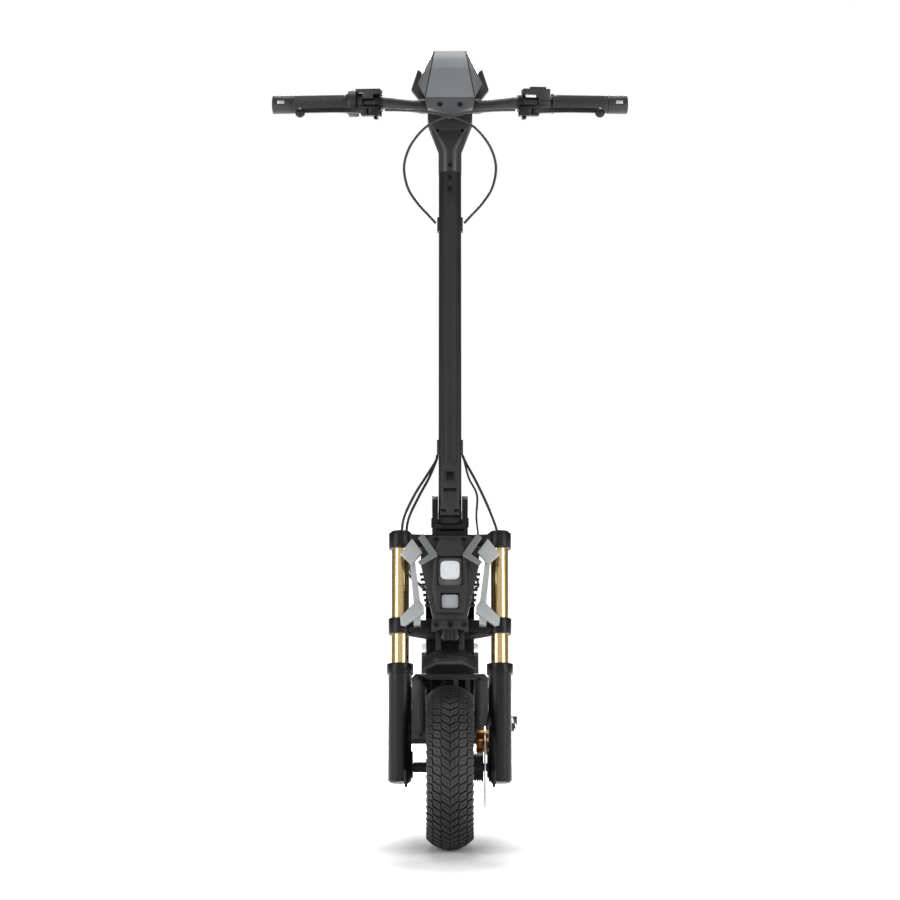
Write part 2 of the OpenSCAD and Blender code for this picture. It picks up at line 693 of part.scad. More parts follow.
// The bar has a thicker middle for the head clamp and a collar over each outer bend
bar_swell = 1.2;
knee = [knee_x, bar_y, bar_z];
outward = [cos(sweep), sin(sweep), 0];
bend_at = [knot_x, bar_y, grip_z] - 5 * outward;
module handlebar() {
  color("#1c1d1f") {
    translate([0, bar_y, bar_z]) x_rod(bar_r + bar_swell, 2 * knee_x + 4);
    both_sides() {
      rod(knee, bend_at, bar_r);
      on_bar(-4.6) x_rod(bar_r + bar_swell, 8.8);
      on_bar((end_u - 7) / 2) x_rod(bar_r, end_u - 1);
    }
  }
}

module grips() {
  color("#161617") both_sides() {
    on_bar((cap_u + grip_u0) / 2) x_tube(grip_r, bar_r, cap_u - grip_u0);
    on_bar(grip_u0 + 2) x_tube(grip_r + 2, bar_r, 4);
  }
}

module end_caps() {
  color("#1a1b1c") both_sides() on_bar(cap_u + 18 + part_gap / 2) difference() {
    x_rod(grip_r + 0.6, 36 - part_gap);
    translate([-2, 0, 0]) x_rod(bar_r, 36);
    translate([2, -grip_r, 3]) cube([15, 5, 8], center = true);
  }
}

module cap_lights() {
  color("#c7cbd0") both_sides() on_bar(cap_u + 20) translate([0, -grip_r + 0.9, 3]) cube([13, 3, 6], center = true);
}

clamp_u = 6.5;
lever_y = -26;
lever_z = -17;
module lever_clamp() {
  difference() {
    union() {
      x_rod(bar_r + 4.5, 13);
      translate([10.5, lever_y + 6, lever_z]) cube([33, 22, 16], center = true);
      translate([2, -14, -19]) cube([18, 16, 12], center = true);
    }
    x_rod(bar_r + run_fit, 60);
    translate([21, lever_y, lever_z]) cube([16, 14, 8.6], center = true);
  }
  translate([21, lever_y, lever_z]) cylinder(r = 3, h = 16.4, center = true);
  translate([2, -16, lever_z - 11]) y_rod(3.4, 14);
}

module lever_clamps() {
  color("#1e1f21") {
    on_bar(clamp_u) lever_clamp();
    on_bar_left(clamp_u) lever_clamp();
  }
}

lever_reach = 112;
module lever_blade() {
  difference() {
    union() {
      cylinder(r = 6, h = 8, center = true);
      linear_extrude(8, center = true) polygon([[0, -6], [24, -24], [56, -32], [lever_reach, -33],
        [lever_reach, -25], [58, -23], [30, -15], [0, 6]]);
      translate([lever_reach, -29, -4]) sphere(r = 8.8);
    }
    cylinder(r = 3 + run_fit, h = 20, center = true);
  }
}

module left_lever() {
  color("#202124") on_bar(clamp_u + 21) translate([0, lever_y, lever_z]) lever_blade();
}

module right_lever() {
  color("#202124") on_bar_left(clamp_u + 21) translate([0, lever_y, lever_z]) lever_blade();
}

paddle_u = 39;
module throttle_body() {
  color("#1b1c1e") on_bar_left() difference() {
    union() {
      translate([52.2, 0, 0]) x_rod(24, 15);
      translate([24, -2, 22.2]) cube([44, 30, 4.8], center = true);
      translate([14, -2, 20.2]) cube([24, 28, 8.8], center = true);
      translate([23.3, -2, 16]) cube([19, 28, 17.2], center = true);
    }
    translate([40, 0, 0]) x_rod(bar_r + run_fit, 60);
  }
}

module throttle_paddle() {
  color("#26272a") on_bar_left(paddle_u) difference() {
    union() {
      x_rod(18, 10);
      translate([0, 21, -5]) rotate([-20, 0, 0]) cube([8, 26, 6], center = true);
      translate([-1, 33, -10.5]) rotate([-20, 0, 0]) cube([16, 14, 4.4], center = true);
    }
    x_rod(bar_r + run_fit, 20);
  }
}

pod_u = 46.2;
module switch_pod() {
  color("#1b1c1e") on_bar(pod_u) difference() {
    union() {
      x_rod(bar_r + 4, 21);
      translate([0, 0, 15]) cube([21, 30, 20], center = true);
      translate([-24, -2, 20.6]) cube([28, 26, 9], center = true);
      translate([-10, -2, 26]) cube([28, 16, 6], center = true);
    }
    x_rod(bar_r, 60);
    translate([0, 12.6, 15]) cube([12, 9, 9], center = true);
    translate([-24, 10, 20.6]) y_rod(3.9, 10);
  }
}

module turn_switch() {
  color("#3a3c3f") on_bar(pod_u) translate([0, 15, 15]) cube([11.2, 7, 8.2], center = true);
}

module mode_button() {
  color("#a43a1c") on_bar(pod_u - 24) translate([0, 10.4, 20.6]) y_rod(3.5, 7);
}

// Display: the front screen leans with the stem
visor_front = [[28, -26, 97], [44, -52, 0]];
visor_rim = [[36, -6, 94], [58, -12, 40], [45, -18, 14.6]];
module visor_solid(grow, back) {
  hull() for (side = [-1, 1]) {
    for (p = visor_front) mark([side * (p[0] + grow), p[1] - grow + back, p[2] + grow]);
    for (p = visor_rim) mark([side * (p[0] + grow), p[1] + back, p[2] + grow]);
  }
}

module in_head() {
  in_fork(axis_y, bar_s) children();
}

module windscreen() {
  color("#8d8f90") in_head() difference() {
    visor_solid(0, 0);
    visor_solid(-3, 4);
  }
}

shell_front = [[31, -1, 88], [50, -7, 41], [38, -12, 12.6]];
shell_back = [[34, 18, 62], [40, 24, 12.6]];
screen_front = [[29, 13, 64], [34, 20, 22]];
module panel_solid(points) {
  hull() for (side = [-1, 1]) for (p = points) mark([side * p[0], p[1], p[2]]);
}

module screen_solid(grow) {
  panel_solid([for (p = screen_front) for (d = [0, 6]) [p[0] + grow, p[1] + d - grow, p[2]]]);
}

module display_shell() {
  color("#26272a") in_head() {
    difference() {
      panel_solid(concat(shell_front, shell_back));
      screen_solid(0.6);
    }
    both_sides() front_plate([[52, 66], [58, 70], [69.5, 33], [56, 14.5], [40, 15], [46, 40]], -3, 12);
    front_plate([[-44, -0.6], [44, -0.6], [39, -20], [8, -29], [0, -32], [-8, -29], [-39, -20]], -52, 28.8);
  }
}

module display_screen() {
  color("#0b0f14") in_head() screen_solid(0);
}

module stem_bolts() {
  color("#101112") {
    in_fork(axis_y - stem_r - 1.3, 0) for (s = [ring_s - 33, ring_s - 11]) translate([0, 0, s]) y_rod(4.4, 2.4);
    in_fork(axis_y - stem_r - 1.9, ring_s + 11) y_rod(4.4, 2.4);
    in_head() both_sides() translate([18, -53, -14]) y_rod(4.4, 2);
  }
}

module fold_latch() {
  color("#212225") in_fork() translate([0, axis_y - stem_r - 6, fold_s + 8]) difference() {
    union() {
      x_rod(5.5, 13.6);
      translate([0, -3.5, 42]) cube([33, 5, 72], center = true);
      translate([0, -3.5, 78]) y_rod(16.5, 5);
      translate([0, -3.5, 5]) cube([14, 5, 12], center = true);
    }
    x_rod(2.5 + run_fit, 40);
    translate([0, -5, 56]) cube([22, 12, 36], center = true);
  }
}

module fold_slider() {
  color("#303236") in_fork() translate([0, axis_y - stem_r - 9.5, fold_s + 59]) {
    cube([21.4, 4.4, 14], center = true);
    translate([0, -2.8, 0]) cube([15, 2, 8], center = true);
  }
}

// Hoses from the levers cross in front of the head, loop outwards and enter the upper ports
hose_r = 2.3;
port_x = stem_r + 2.4;
hose_route = [
  [-116, bar_y - 44, bar_z - 10], [-88, bar_y - 50, bar_z - 11], [-45, bar_y - 60, bar_z - 14],
  [0, bar_y - 64, bar_z - 23], [36, bar_y - 60, bar_z - 37], [60, bar_y - 54, bar_z - 59],
  [76, bar_y - 50, bar_z - 86], [82, bar_y - 48, bar_z - 116], [75, bar_y - 49, bar_z - 150],
  [58, bar_y - 51, bar_z - 177], [38, bar_y - 54, bar_z - 199], fork_xyz(stem_r + 5.4, axis_y - 2, top_port_s + 3)];
function across(p) = [-p[0], p[1] - 5 * max(0, 1 - abs(p[0]) / 22), p[2]];
module brake_hoses() {
  color("#0f0f10") {
    cord(hose_route, hose_r);
    cord([for (p = hose_route) across(p)], hose_r);
  }
}

// Cables leave the lower ports, bow outwards beside the fold and go into the neck's sides
low_exit_s = low_port_s - port_h / 2 - 0.6;
function cable_route(side, out_x, end_x, end_y) = [
  fork_xyz(side * port_x, axis_y, low_exit_s), fork_xyz(side * (port_x + 3), axis_y - 2, low_exit_s - 12),
  fork_xyz(side * out_x * 0.7, axis_y - 2, 510), fork_xyz(side * out_x, axis_y, 480),
  fork_xyz(side * end_x, axis_y, 440), fork_xyz(side * (end_x + 4), end_y, 408),
  fork_xyz(side * (end_x + 3), end_y + 4, 375), fork_xyz(side * (end_x * 0.8 + 8), 44, 345),
  fork_xyz(side * (neck_w / 2 + 8), 50, 326), fork_xyz(side * (neck_w / 2 + 1.5), 50, 322)];
module lower_cables() {
  color("#0f0f10") {
    cord(cable_route(-1, 62, 80, 14), 2);
    translate([0, 5, -2]) cord(cable_route(-1, 54, 72, 18), 2);
    cord(cable_route(1, 47, 46, 50), 1.6);
  }
}

// The front brake's hose passes behind the right stanchion and down to the caliper
module caliper_hose() {
  color("#0f0f10") cord([
    fork_xyz(port_x, axis_y + 4.4, low_exit_s), fork_xyz(port_x + 5, axis_y + 4, low_exit_s - 12),
    fork_xyz(48, axis_y + 3, 500), fork_xyz(70, axis_y + 2, 450), fork_xyz(84, 16, 405), fork_xyz(88, 18, 340),
    fork_xyz(89, 17, 250), fork_xyz(87, 22, 190), fork_xyz(78, 40, 140), fork_xyz(68, 52, 100),
    fork_xyz(64, 60.5, 78)], 2);
}

frame_shell();
deck_mat();
bottom_cover();
nose_grille();
battery_pack();
controller();
headset_bearings();
kick_plate();
charge_cap();
kickstand();
frame_screws();
swingarm();
rear_guard();
tail_light();
rear_axle();
hub_motor();
rear_tyre();
rear_disc();
rear_caliper();
shock_body();
shock_shaft();
lower_crown();
upper_crown();
stanchions();
lamp_housing();
lamp_lenses();
lamp_chevrons();
side_blades();
front_guard();
fold_base();
crown_bolts();
lower_legs();
front_axle();
front_caliper();
front_tyre();
front_hub();
front_disc();
stem_tube();
stem_head();
handlebar();
grips();
end_caps();
cap_lights();
lever_clamps();
throttle_body();
switch_pod();
display_shell();
display_screen();
windscreen();
brake_hoses();
stem_bolts();
fold_latch();
fold_slider();
right_lever();
left_lever();
throttle_paddle();
turn_switch();
mode_button();
lower_cables();
caliper_hose();
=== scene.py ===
"""Electric kick scooter: the detailed pieces, finishes and studio stage that sit on the CAD frame."""
import json
import math

import bmesh
import bpy
from mathutils import Matrix, Vector

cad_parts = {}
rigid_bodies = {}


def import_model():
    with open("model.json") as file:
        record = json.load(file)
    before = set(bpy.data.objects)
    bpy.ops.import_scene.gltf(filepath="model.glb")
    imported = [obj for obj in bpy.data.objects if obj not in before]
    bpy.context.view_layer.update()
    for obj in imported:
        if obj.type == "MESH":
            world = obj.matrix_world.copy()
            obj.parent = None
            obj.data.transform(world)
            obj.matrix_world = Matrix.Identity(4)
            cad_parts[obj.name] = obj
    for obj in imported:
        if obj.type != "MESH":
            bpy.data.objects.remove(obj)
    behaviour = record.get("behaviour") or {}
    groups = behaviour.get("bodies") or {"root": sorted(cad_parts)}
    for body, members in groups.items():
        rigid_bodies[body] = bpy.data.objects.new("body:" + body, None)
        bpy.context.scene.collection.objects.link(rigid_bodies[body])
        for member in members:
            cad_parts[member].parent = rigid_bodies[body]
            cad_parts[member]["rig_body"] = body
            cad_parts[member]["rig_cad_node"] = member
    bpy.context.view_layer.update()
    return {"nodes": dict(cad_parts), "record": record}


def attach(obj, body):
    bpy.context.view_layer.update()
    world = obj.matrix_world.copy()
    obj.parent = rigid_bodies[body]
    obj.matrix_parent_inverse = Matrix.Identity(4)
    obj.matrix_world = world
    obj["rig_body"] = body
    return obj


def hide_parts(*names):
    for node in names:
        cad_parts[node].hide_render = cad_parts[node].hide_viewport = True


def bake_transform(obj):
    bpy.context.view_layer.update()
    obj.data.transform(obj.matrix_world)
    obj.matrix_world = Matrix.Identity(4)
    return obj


bl_info = {
    "name": "Kick scooter finish",
    "version": (1, 0, 0),
    "blender": (4, 5, 0),
    "location": "View3D > Sidebar > Scooter",
    "description": "Tyres, bar, hoses, lamps, screen and finishes of a folding electric kick scooter",
    "category": "Object",
}

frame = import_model()
NODES = frame["nodes"]
MM = 0.001

# Sizes shared with the CAD model, in millimetres
FRONT_Y = -486.0
REAR_Y = 474.0
AXLE_Z = 140.0
TYRE_R = 140.0
RAKE = math.radians(14.0)
SWEEP = math.radians(8.5)
LEG_X = 85.5
LEG_Y = -20.0
AXIS_Y = 14.0
BAR_S = 1197.0
BAR_Y = FRONT_Y + AXIS_Y * math.cos(RAKE) + BAR_S * math.sin(RAKE)
BAR_Z = AXLE_Z - AXIS_Y * math.sin(RAKE) + BAR_S * math.cos(RAKE)
GRIP_Z = BAR_Z + 7.0
KNOT_X = 122.0
CAP_U = 163.2
END_U = 199.2
STEM_R = 20.0
PORT_X = 22.4
LOW_EXIT_S = 551.4
TOP_PORT_S = BAR_S - 223
RING_S = BAR_S - 128
TOP_CROWN_S = 376.0
BASE_S = TOP_CROWN_S + 27
LENS_S = 329.0
LOW_LENS_S = 274.5
# Height above the stem head where the screen's painted shade of the display body gives way to painted backdrop light
SCREEN_PAINTED_LIGHT_STEP = 62.0
NECK_X = 43.5

FORK = Matrix.Translation((0, FRONT_Y * MM, AXLE_Z * MM)) @ Matrix.Rotation(-RAKE, 4, "X")
HEAD = FORK @ Matrix.Translation((0, AXIS_Y * MM, BAR_S * MM))
BAR_END = {
    1: Matrix.Translation((KNOT_X * MM, BAR_Y * MM, GRIP_Z * MM)) @ Matrix.Rotation(SWEEP, 4, "Z"),
    -1: Matrix.Translation((-KNOT_X * MM, BAR_Y * MM, GRIP_Z * MM)) @ Matrix.Rotation(math.pi - SWEEP, 4, "Z"),
}


# ---- Colours and materials ----
def hex_colour(text):
    """Linear colour of an sRGB hex value."""
    values = [int(text[i:i + 2], 16) / 255 for i in (1, 3, 5)]
    linear = [v / 12.92 if v <= 0.04045 else ((v + 0.055) / 1.055) ** 2.4 for v in values]
    return (*linear, 1.0)


def add_node(tree, kind, inputs=None, **settings):
    """Adds a node; an input is a plain value or another node's output."""
    made = tree.nodes.new(kind)
    for name, value in settings.items():
        setattr(made, name, value)
    for key, value in (inputs or {}).items():
        if isinstance(value, bpy.types.NodeSocket):
            tree.links.new(value, made.inputs[key])
        else:
            made.inputs[key].default_value = value
    return made


def surface(name, settings):
    """New material with a Principled shader; returns the material, its tree, shader and coordinates."""
    material = bpy.data.materials.new(name)
    material.use_nodes = True
    tree = material.node_tree
    shader = tree.nodes["Principled BSDF"]
    for key, value in settings.items():
        shader.inputs[key].default_value = value
    place = add_node(tree, "ShaderNodeTexCoord")
    return material, tree, shader, place.outputs["Object"]


def two_tone(tree, shader, factor, dark, light, low=0.35, high=0.65):
    """Base colour that drifts between two near tones with a pattern."""
    ramp = add_node(tree, "ShaderNodeMapRange", {0: factor, 1: low, 2: high, 3: 0.0, 4: 1.0})
    tones = {0: ramp.outputs[0], 6: hex_colour(dark), 7: hex_colour(light)}
    mix = add_node(tree, "ShaderNodeMix", tones, data_type="RGBA")
    tree.links.new(mix.outputs[2], shader.inputs["Base Color"])


def roughness_range(tree, shader, factor, low, high):
    """Roughness that follows a pattern between two values."""
    ramp = add_node(tree, "ShaderNodeMapRange", {0: factor, 1: 0.3, 2: 0.7, 3: low, 4: high})
    tree.links.new(ramp.outputs[0], shader.inputs["Roughness"])


def bump(tree, shader, height, depth_mm, strength=1.0):
    """Surface relief, depth in millimetres."""
    relief = add_node(tree, "ShaderNodeBump", {"Height": height, "Strength": strength, "Distance": depth_mm * MM})
    tree.links.new(relief.outputs[0], shader.inputs["Normal"])


def coated(name, dark, light, metallic, rough, grain_mm, depth_mm, coat=0.0):
    """A plain finish with a fine grain, a slow drift of tone and slightly uneven gloss."""
    material, tree, shader, place = surface(name, {
        "Metallic": metallic, "Coat Weight": coat, "Coat Roughness": 0.12})
    drift = add_node(tree, "ShaderNodeTexNoise", {"Vector": place, "Scale": 9.0, "Detail": 4.0})
    grain = add_node(tree, "ShaderNodeTexNoise", {"Vector": place, "Scale": 1 / (grain_mm * MM), "Detail": 2.0})
    two_tone(tree, shader, drift.outputs[0], dark, light)
    roughness_range(tree, shader, drift.outputs[0], rough - 0.05, rough + 0.05)
    bump(tree, shader, grain.outputs[0], depth_mm)
    return material


def make_finishes(tones):
    """Every finish on the scooter, by the CAD model's slot name."""
    made = {}
    # Satin polyester powder coat on alloy: slight orange peel about 1.2 mm across, soft broad highlights
    made["satin_black_paint"] = coated(
        "Powder coat, satin black", tones.coat_dark, tones.coat_light, 0.0, 0.42, 1.2, 0.012)
    # Sulphuric anodised 6061, bead blasted: metal under a black dye, tight highlights
    made["black_anodised"] = coated("Anodised aluminium, black", "#101112", "#151618", 0.55, 0.36, 0.5, 0.004)
    # Polished tube with a gold anodic layer: mirror-like and warm, with faint drawing lines along the tube
    gold, tree, shader, place = surface("Anodised aluminium, gold polished", {"Metallic": 1.0})
    turned = add_node(tree, "ShaderNodeMapping", {"Vector": place, "Rotation": (RAKE, 0, 0), "Scale": (900, 900, 14)})
    lines = add_node(tree, "ShaderNodeTexNoise", {"Vector": turned.outputs[0], "Scale": 1.0, "Detail": 3.0})
    two_tone(tree, shader, lines.outputs[0], tones.gold_dark, tones.gold_light)
    roughness_range(tree, shader, lines.outputs[0], 0.18, 0.26)
    made["gold_anodised"] = gold
    # Silver basecoat and clear on moulded blades: pale grey flake under a thin gloss
    silver, tree, shader, place = surface("Silver paint, clear coated", {
        "Metallic": 0.35, "Coat Weight": 0.3, "Coat Roughness": 0.1})
    flake = add_node(tree, "ShaderNodeTexVoronoi", {"Vector": place, "Scale": 1400.0})
    drift = add_node(tree, "ShaderNodeTexNoise", {"Vector": place, "Scale": 16.0, "Detail": 3.0})
    two_tone(tree, shader, flake.outputs[0], "#8b8d8e", "#a2a4a5", 0.1, 0.9)
    roughness_range(tree, shader, drift.outputs[0], 0.36, 0.46)
    made["silver_paint"] = silver
    # Injection moulded ABS with a fine spark-eroded texture, about 0.35 mm between pits
    made["black_plastic"] = coated("ABS, black moulded", "#0e0f10", "#141516", 0.0, 0.5, 0.8, 0.02)
    made["grey_plastic"] = coated("ABS, grey moulded", "#56585a", "#606264", 0.0, 0.46, 0.8, 0.02)
    # Thermoplastic rubber: matt and slightly lighter where the surface has dried out
    made["grip_rubber"] = coated("Thermoplastic rubber, black", "#101011", "#191919", 0.0, 0.62, 0.6, 0.03)
    # Vulcanised tyre rubber with carbon black: matt, dusty in the low places
    tyre, tree, shader, place = surface("Tyre rubber, carbon black", {"Specular IOR Level": 0.4})
    dust = add_node(tree, "ShaderNodeTexNoise", {"Vector": place, "Scale": 60.0, "Detail": 6.0})
    skin = add_node(tree, "ShaderNodeTexNoise", {"Vector": place, "Scale": 900.0, "Detail": 2.0})
    two_tone(tree, shader, dust.outputs[0], "#0f0f0f", "#191919")
    roughness_range(tree, shader, dust.outputs[0], 0.52, 0.68)
    bump(tree, shader, skin.outputs[0], 0.05)
    made["tyre_rubber"] = tyre
    # The same rubber on the tread blocks, a little paler than the carcass
    made["tread_rubber"] = coated("Tyre rubber, tread blocks", "#181818", "#222222", 0.0, 0.58, 1.1, 0.05)
    # Extruded PVC jacket: smooth with a low sheen
    made["cable_jacket"] = coated("PVC cable jacket, black", "#0b0b0c", "#121213", 0.0, 0.38, 1.5, 0.006)
    # Stainless disc, ground face: fine circular scratches around the axle
    steel, tree, shader, place = surface("Stainless steel, ground", {"Metallic": 1.0, "Anisotropic": 0.5})
    grind = add_node(tree, "ShaderNodeTexNoise", {"Vector": place, "Scale": 700.0, "Detail": 4.0})
    two_tone(tree, shader, grind.outputs[0], "#a9abad", "#c4c6c8")
    roughness_range(tree, shader, grind.outputs[0], 0.24, 0.34)
    made["steel"] = steel
    # Black oxide fasteners: dark metal with an oily gloss
    made["black_steel"] = coated("Black oxide steel", "#0e0e0f", "#18191a", 0.7, 0.34, 0.7, 0.006)
    # Opal polycarbonate over the lamps: milky white, smooth outside, light goes a little way in
    lens, tree, shader, place = surface("Polycarbonate lens, opal white", {
        "Roughness": 0.3, "Coat Weight": 0.4, "Coat Roughness": 0.05, "Subsurface Weight": 0.3,
        "Subsurface Radius": (0.004, 0.004, 0.004)})
    cloud = add_node(tree, "ShaderNodeTexNoise", {"Vector": place, "Scale": 120.0, "Detail": 2.0})
    two_tone(tree, shader, cloud.outputs[0], "#b8babc", "#c2c4c6")
    made["white_lens"] = lens
    made["grey_lens"] = coated("Polycarbonate lens, frosted grey", "#85878a", "#8f9194", 0.0, 0.34, 3.0, 0.01, coat=0.4)
    # Red polycarbonate tail lamp with moulded ribs every 3 mm
    red, tree, shader, place = surface("Polycarbonate lens, red", {
        "Roughness": 0.15, "Transmission Weight": 0.3, "IOR": 1.58})
    ribs = add_node(tree, "ShaderNodeTexWave", {"Vector": place, "Scale": 105.0}, bands_direction="X")
    two_tone(tree, shader, ribs.outputs[0], "#7d0d12", "#b01a20", 0.2, 0.8)
    bump(tree, shader, ribs.outputs[0], 0.4)
    made["red_lens"] = red
    # Hard coated acrylic over the display: near black with a mirror gloss and faint finger haze
    glass, tree, shader, place = surface("Acrylic display window, black", {"Coat Weight": 1.0, "Coat Roughness": 0.03})
    haze = add_node(tree, "ShaderNodeTexNoise", {"Vector": place, "Scale": 35.0, "Detail": 5.0})
    two_tone(tree, shader, haze.outputs[0], "#06080a", "#0b0e11")
    roughness_range(tree, shader, haze.outputs[0], 0.06, 0.16)
    made["screen_glass"] = glass
    # Heat shrunk PVC sleeve round the cells: blue with soft wrinkles 8 mm apart
    wrap, tree, shader, place = surface("PVC heat shrink, blue", {"Roughness": 0.3})
    crease = add_node(tree, "ShaderNodeTexNoise", {"Vector": place, "Scale": 120.0, "Detail": 3.0, "Distortion": 1.2})
    two_tone(tree, shader, crease.outputs[0], "#1e3d5f", "#2a5078")
    bump(tree, shader, crease.outputs[0], 0.5)
    made["battery_wrap"] = wrap
    # As-cast alloy: dull grey with a sandy skin
    made["cast_aluminium"] = coated("Cast aluminium", "#7c7f82", "#8d9093", 0.9, 0.5, 0.9, 0.06)
    made["orange_button"] = coated("ABS, orange moulded", "#96331a", "#a83c20", 0.0, 0.44, 0.8, 0.02)
    # Machined and bronze anodised caliper body: warmer and duller than the tubes
    made["bronze_anodised"] = coated("Anodised aluminium, bronze", "#9c6a34", "#b98447", 0.9, 0.32, 0.6, 0.006)
    made["chin_plastic"] = coated("ABS, dark grey moulded", "#37393b", "#404244", 0.0, 0.45, 0.8, 0.02)
    # Smoke tinted polycarbonate screen: grey body, smooth, bright edge gloss. It is opaque, so its darker lower tone is
    # painted shade of the display body behind it and its paler upper tone is painted light of the white backdrop seen
    # through it
    made["screen_body_painted_shade"] = coated(
        "Smoke polycarbonate, painted body shade", "#626466", "#696b6d", 0.0, 0.3, 14.0, 0.01, coat=0.4)
    made["screen_backdrop_painted_light"] = coated(
        "Smoke polycarbonate, painted backdrop light", "#6f7173", "#77797b", 0.0, 0.28, 14.0, 0.01, coat=0.4)
    # Grit tape on the deck: coarse grains 1 mm across, drawn at twice their size so they show
    grit, tree, shader, place = surface("Grit tape, black", {"Roughness": 0.85})
    grains = add_node(tree, "ShaderNodeTexVoronoi", {"Vector": place, "Scale": 500.0})
    two_tone(tree, shader, grains.outputs[0], "#0e0e0f", "#262627", 0.1, 0.6)
    bump(tree, shader, grains.outputs[0], 0.5)
    made["grit_tape"] = grit
    return made


FINISH = {}


def wear(piece, slot):
    """Gives a piece one finish."""
    piece.data.materials.clear()
    piece.data.materials.append(FINISH[slot])


# ---- Modelling helpers ----
def deselect():
    if bpy.context.object and bpy.context.object.mode != "OBJECT":
        bpy.ops.object.mode_set(mode="OBJECT")
    bpy.ops.object.select_all(action="DESELECT")


def pick(piece):
    """Makes one piece the only selected and active object."""
    deselect()
    piece.select_set(True)
    bpy.context.view_layer.objects.active = piece


def smooth(piece, angle=35):
    pick(piece)
    bpy.ops.object.shade_smooth_by_angle(angle=math.radians(angle), keep_sharp_edges=True)


def modify(piece, kind, **settings):
    """Adds one modifier and applies it."""
    pick(piece)
    added = piece.modifiers.new(kind.title(), kind)
    for name, value in settings.items():
        setattr(added, name, value)
    bpy.ops.object.modifier_apply(modifier=added.name)


def clean(piece, distance=0.00001):
    """Merges doubles and turns every face outwards."""
    pick(piece)
    bpy.ops.object.mode_set(mode="EDIT")
    bpy.ops.mesh.select_all(action="SELECT")
    bpy.ops.mesh.remove_doubles(threshold=distance)
    bpy.ops.mesh.normals_make_consistent(inside=False)
    bpy.ops.object.mode_set(mode="OBJECT")


def settle(piece, place, name):
    """Moves a finished piece's place into its mesh, in metres on the frame."""
    piece.name = name
    piece.data.name = name
    piece.data.transform(place @ piece.matrix_basis)
    piece.matrix_basis = Matrix.Identity(4)
    if place.determinant() < 0:
        piece.data.flip_normals()
    return piece


def select_edges(piece, wanted):
    """Selects, in edit mode, exactly the edges whose two vertices are both wanted."""
    bpy.ops.mesh.select_all(action="DESELECT")
    mesh = bmesh.from_edit_mesh(piece.data)
    for edge in mesh.edges:
        edge.select = edge.verts[0].index in wanted and edge.verts[1].index in wanted
    mesh.select_flush_mode()
    bmesh.update_edit_mesh(piece.data)


def loft(name, rings, ends=True, loop=False):
    """Starts from a circle and extrudes it ring after ring; rings hold points in metres."""
    deselect()
    bpy.ops.mesh.primitive_circle_add(vertices=len(rings[0]), radius=0.01)
    piece = bpy.context.object
    bpy.ops.object.mode_set(mode="EDIT")
    bpy.ops.mesh.select_mode(type="EDGE")
    mesh = bmesh.from_edit_mesh(piece.data)
    place_of = {vertex.index: i for i, vertex in enumerate(mesh.verts)}
    for vertex in mesh.verts:
        vertex.co = rings[0][place_of[vertex.index]]
    first = set(place_of)
    for ring in rings[1:]:
        select_edges(piece, place_of)
        bpy.ops.mesh.extrude_edges_move()
        mesh = bmesh.from_edit_mesh(piece.data)
        mesh.verts.index_update()
        grown = {}
        for vertex in mesh.verts:
            if vertex.select:
                near = [edge.other_vert(vertex).index for edge in vertex.link_edges]
                old = next(index for index in near if index in place_of)
                grown[vertex.index] = place_of[old]
                vertex.co = ring[place_of[old]]
        place_of = grown
    bmesh.update_edit_mesh(piece.data)
    if loop:
        select_edges(piece, first | set(place_of))
        bpy.ops.mesh.bridge_edge_loops()
    elif ends:
        for rim in (first, place_of):
            select_edges(piece, rim)
            bpy.ops.mesh.edge_face_add()
    bpy.ops.object.mode_set(mode="OBJECT")
    clean(piece, 0.000005)
    piece.name = name
    piece.data.name = name
    return piece


def join(name, *pieces):
    """Joins pieces into the first one."""
    pick(pieces[0])
    for other in pieces[1:]:
        other.select_set(True)
    bpy.ops.object.join()
    pieces[0].name = name
    pieces[0].data.name = name
    return pieces[0]


def ring_points(centre, along, radius, sides, start=0.0):
    """Points of one circle round a direction, in metres."""
    side = along.cross(Vector((0, 1, 0)))
    side = side.normalized() if side.length > 0.05 else Vector((1, 0, 0))
    up = side.cross(along).normalized()
    return [centre + radius * (math.cos(start + 2 * math.pi * k / sides) * side
                               + math.sin(start + 2 * math.pi * k / sides) * up) for k in range(sides)]


def smooth_route(points, steps):
    """Catmull-Rom curve through points."""
    made = []
    for i in range(len(points) - 1):
        a, b = points[max(i - 1, 0)], points[i]
        c, d = points[i + 1], points[min(i + 2, len(points) - 1)]
        for k in range(steps):
            t = k / steps
            square = 2 * a - 5 * b + 4 * c - d
            cube = 3 * b - a - 3 * c + d
            made.append(0.5 * (2 * b + (c - a) * t + square * t * t + cube * t ** 3))
    return made + [points[-1]]


def hose(name, points, radius, first=0, last=None, sides=14, steps=9):
    """Round hose along a route, or along a stretch of it between two of its points; millimetres."""
    path = smooth_route([Vector(p) * MM for p in points], steps)
    rings = []
    stop = len(path) - 1 if last is None else last * steps
    for i in range(first * steps, stop + 1):
        centre = path[i]
        along = (path[min(i + 1, len(path) - 1)] - path[max(i - 1, 0)]).normalized()
        rings.append(ring_points(centre, along, radius * MM, sides))
    piece = loft(name, rings)
    smooth(piece, 50)
    return piece


def in_fork(x, y, s):
    """Point given across, behind the axle and along the steering axis, in millimetres."""
    return tuple((FORK @ (Vector((x, y, s)) * MM)) / MM)


def cad_copy(node, name, whole=True):
    """Copy of a CAD node with its triangles merged and, when wanted, its flat faces made whole."""
    deselect()
    piece = NODES[node].copy()
    piece.data = NODES[node].data.copy()
    piece.parent = None
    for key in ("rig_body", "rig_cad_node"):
        if key in piece:
            del piece[key]
    bpy.context.scene.collection.objects.link(piece)
    piece.name = name
    piece.data.name = name
    pick(piece)
    bpy.ops.object.mode_set(mode="EDIT")
    bpy.ops.mesh.select_all(action="SELECT")
    bpy.ops.mesh.remove_doubles(threshold=0.000005)
    if whole:
        bpy.ops.mesh.dissolve_limited(angle_limit=math.radians(0.5))
    bpy.ops.object.mode_set(mode="OBJECT")
    return piece


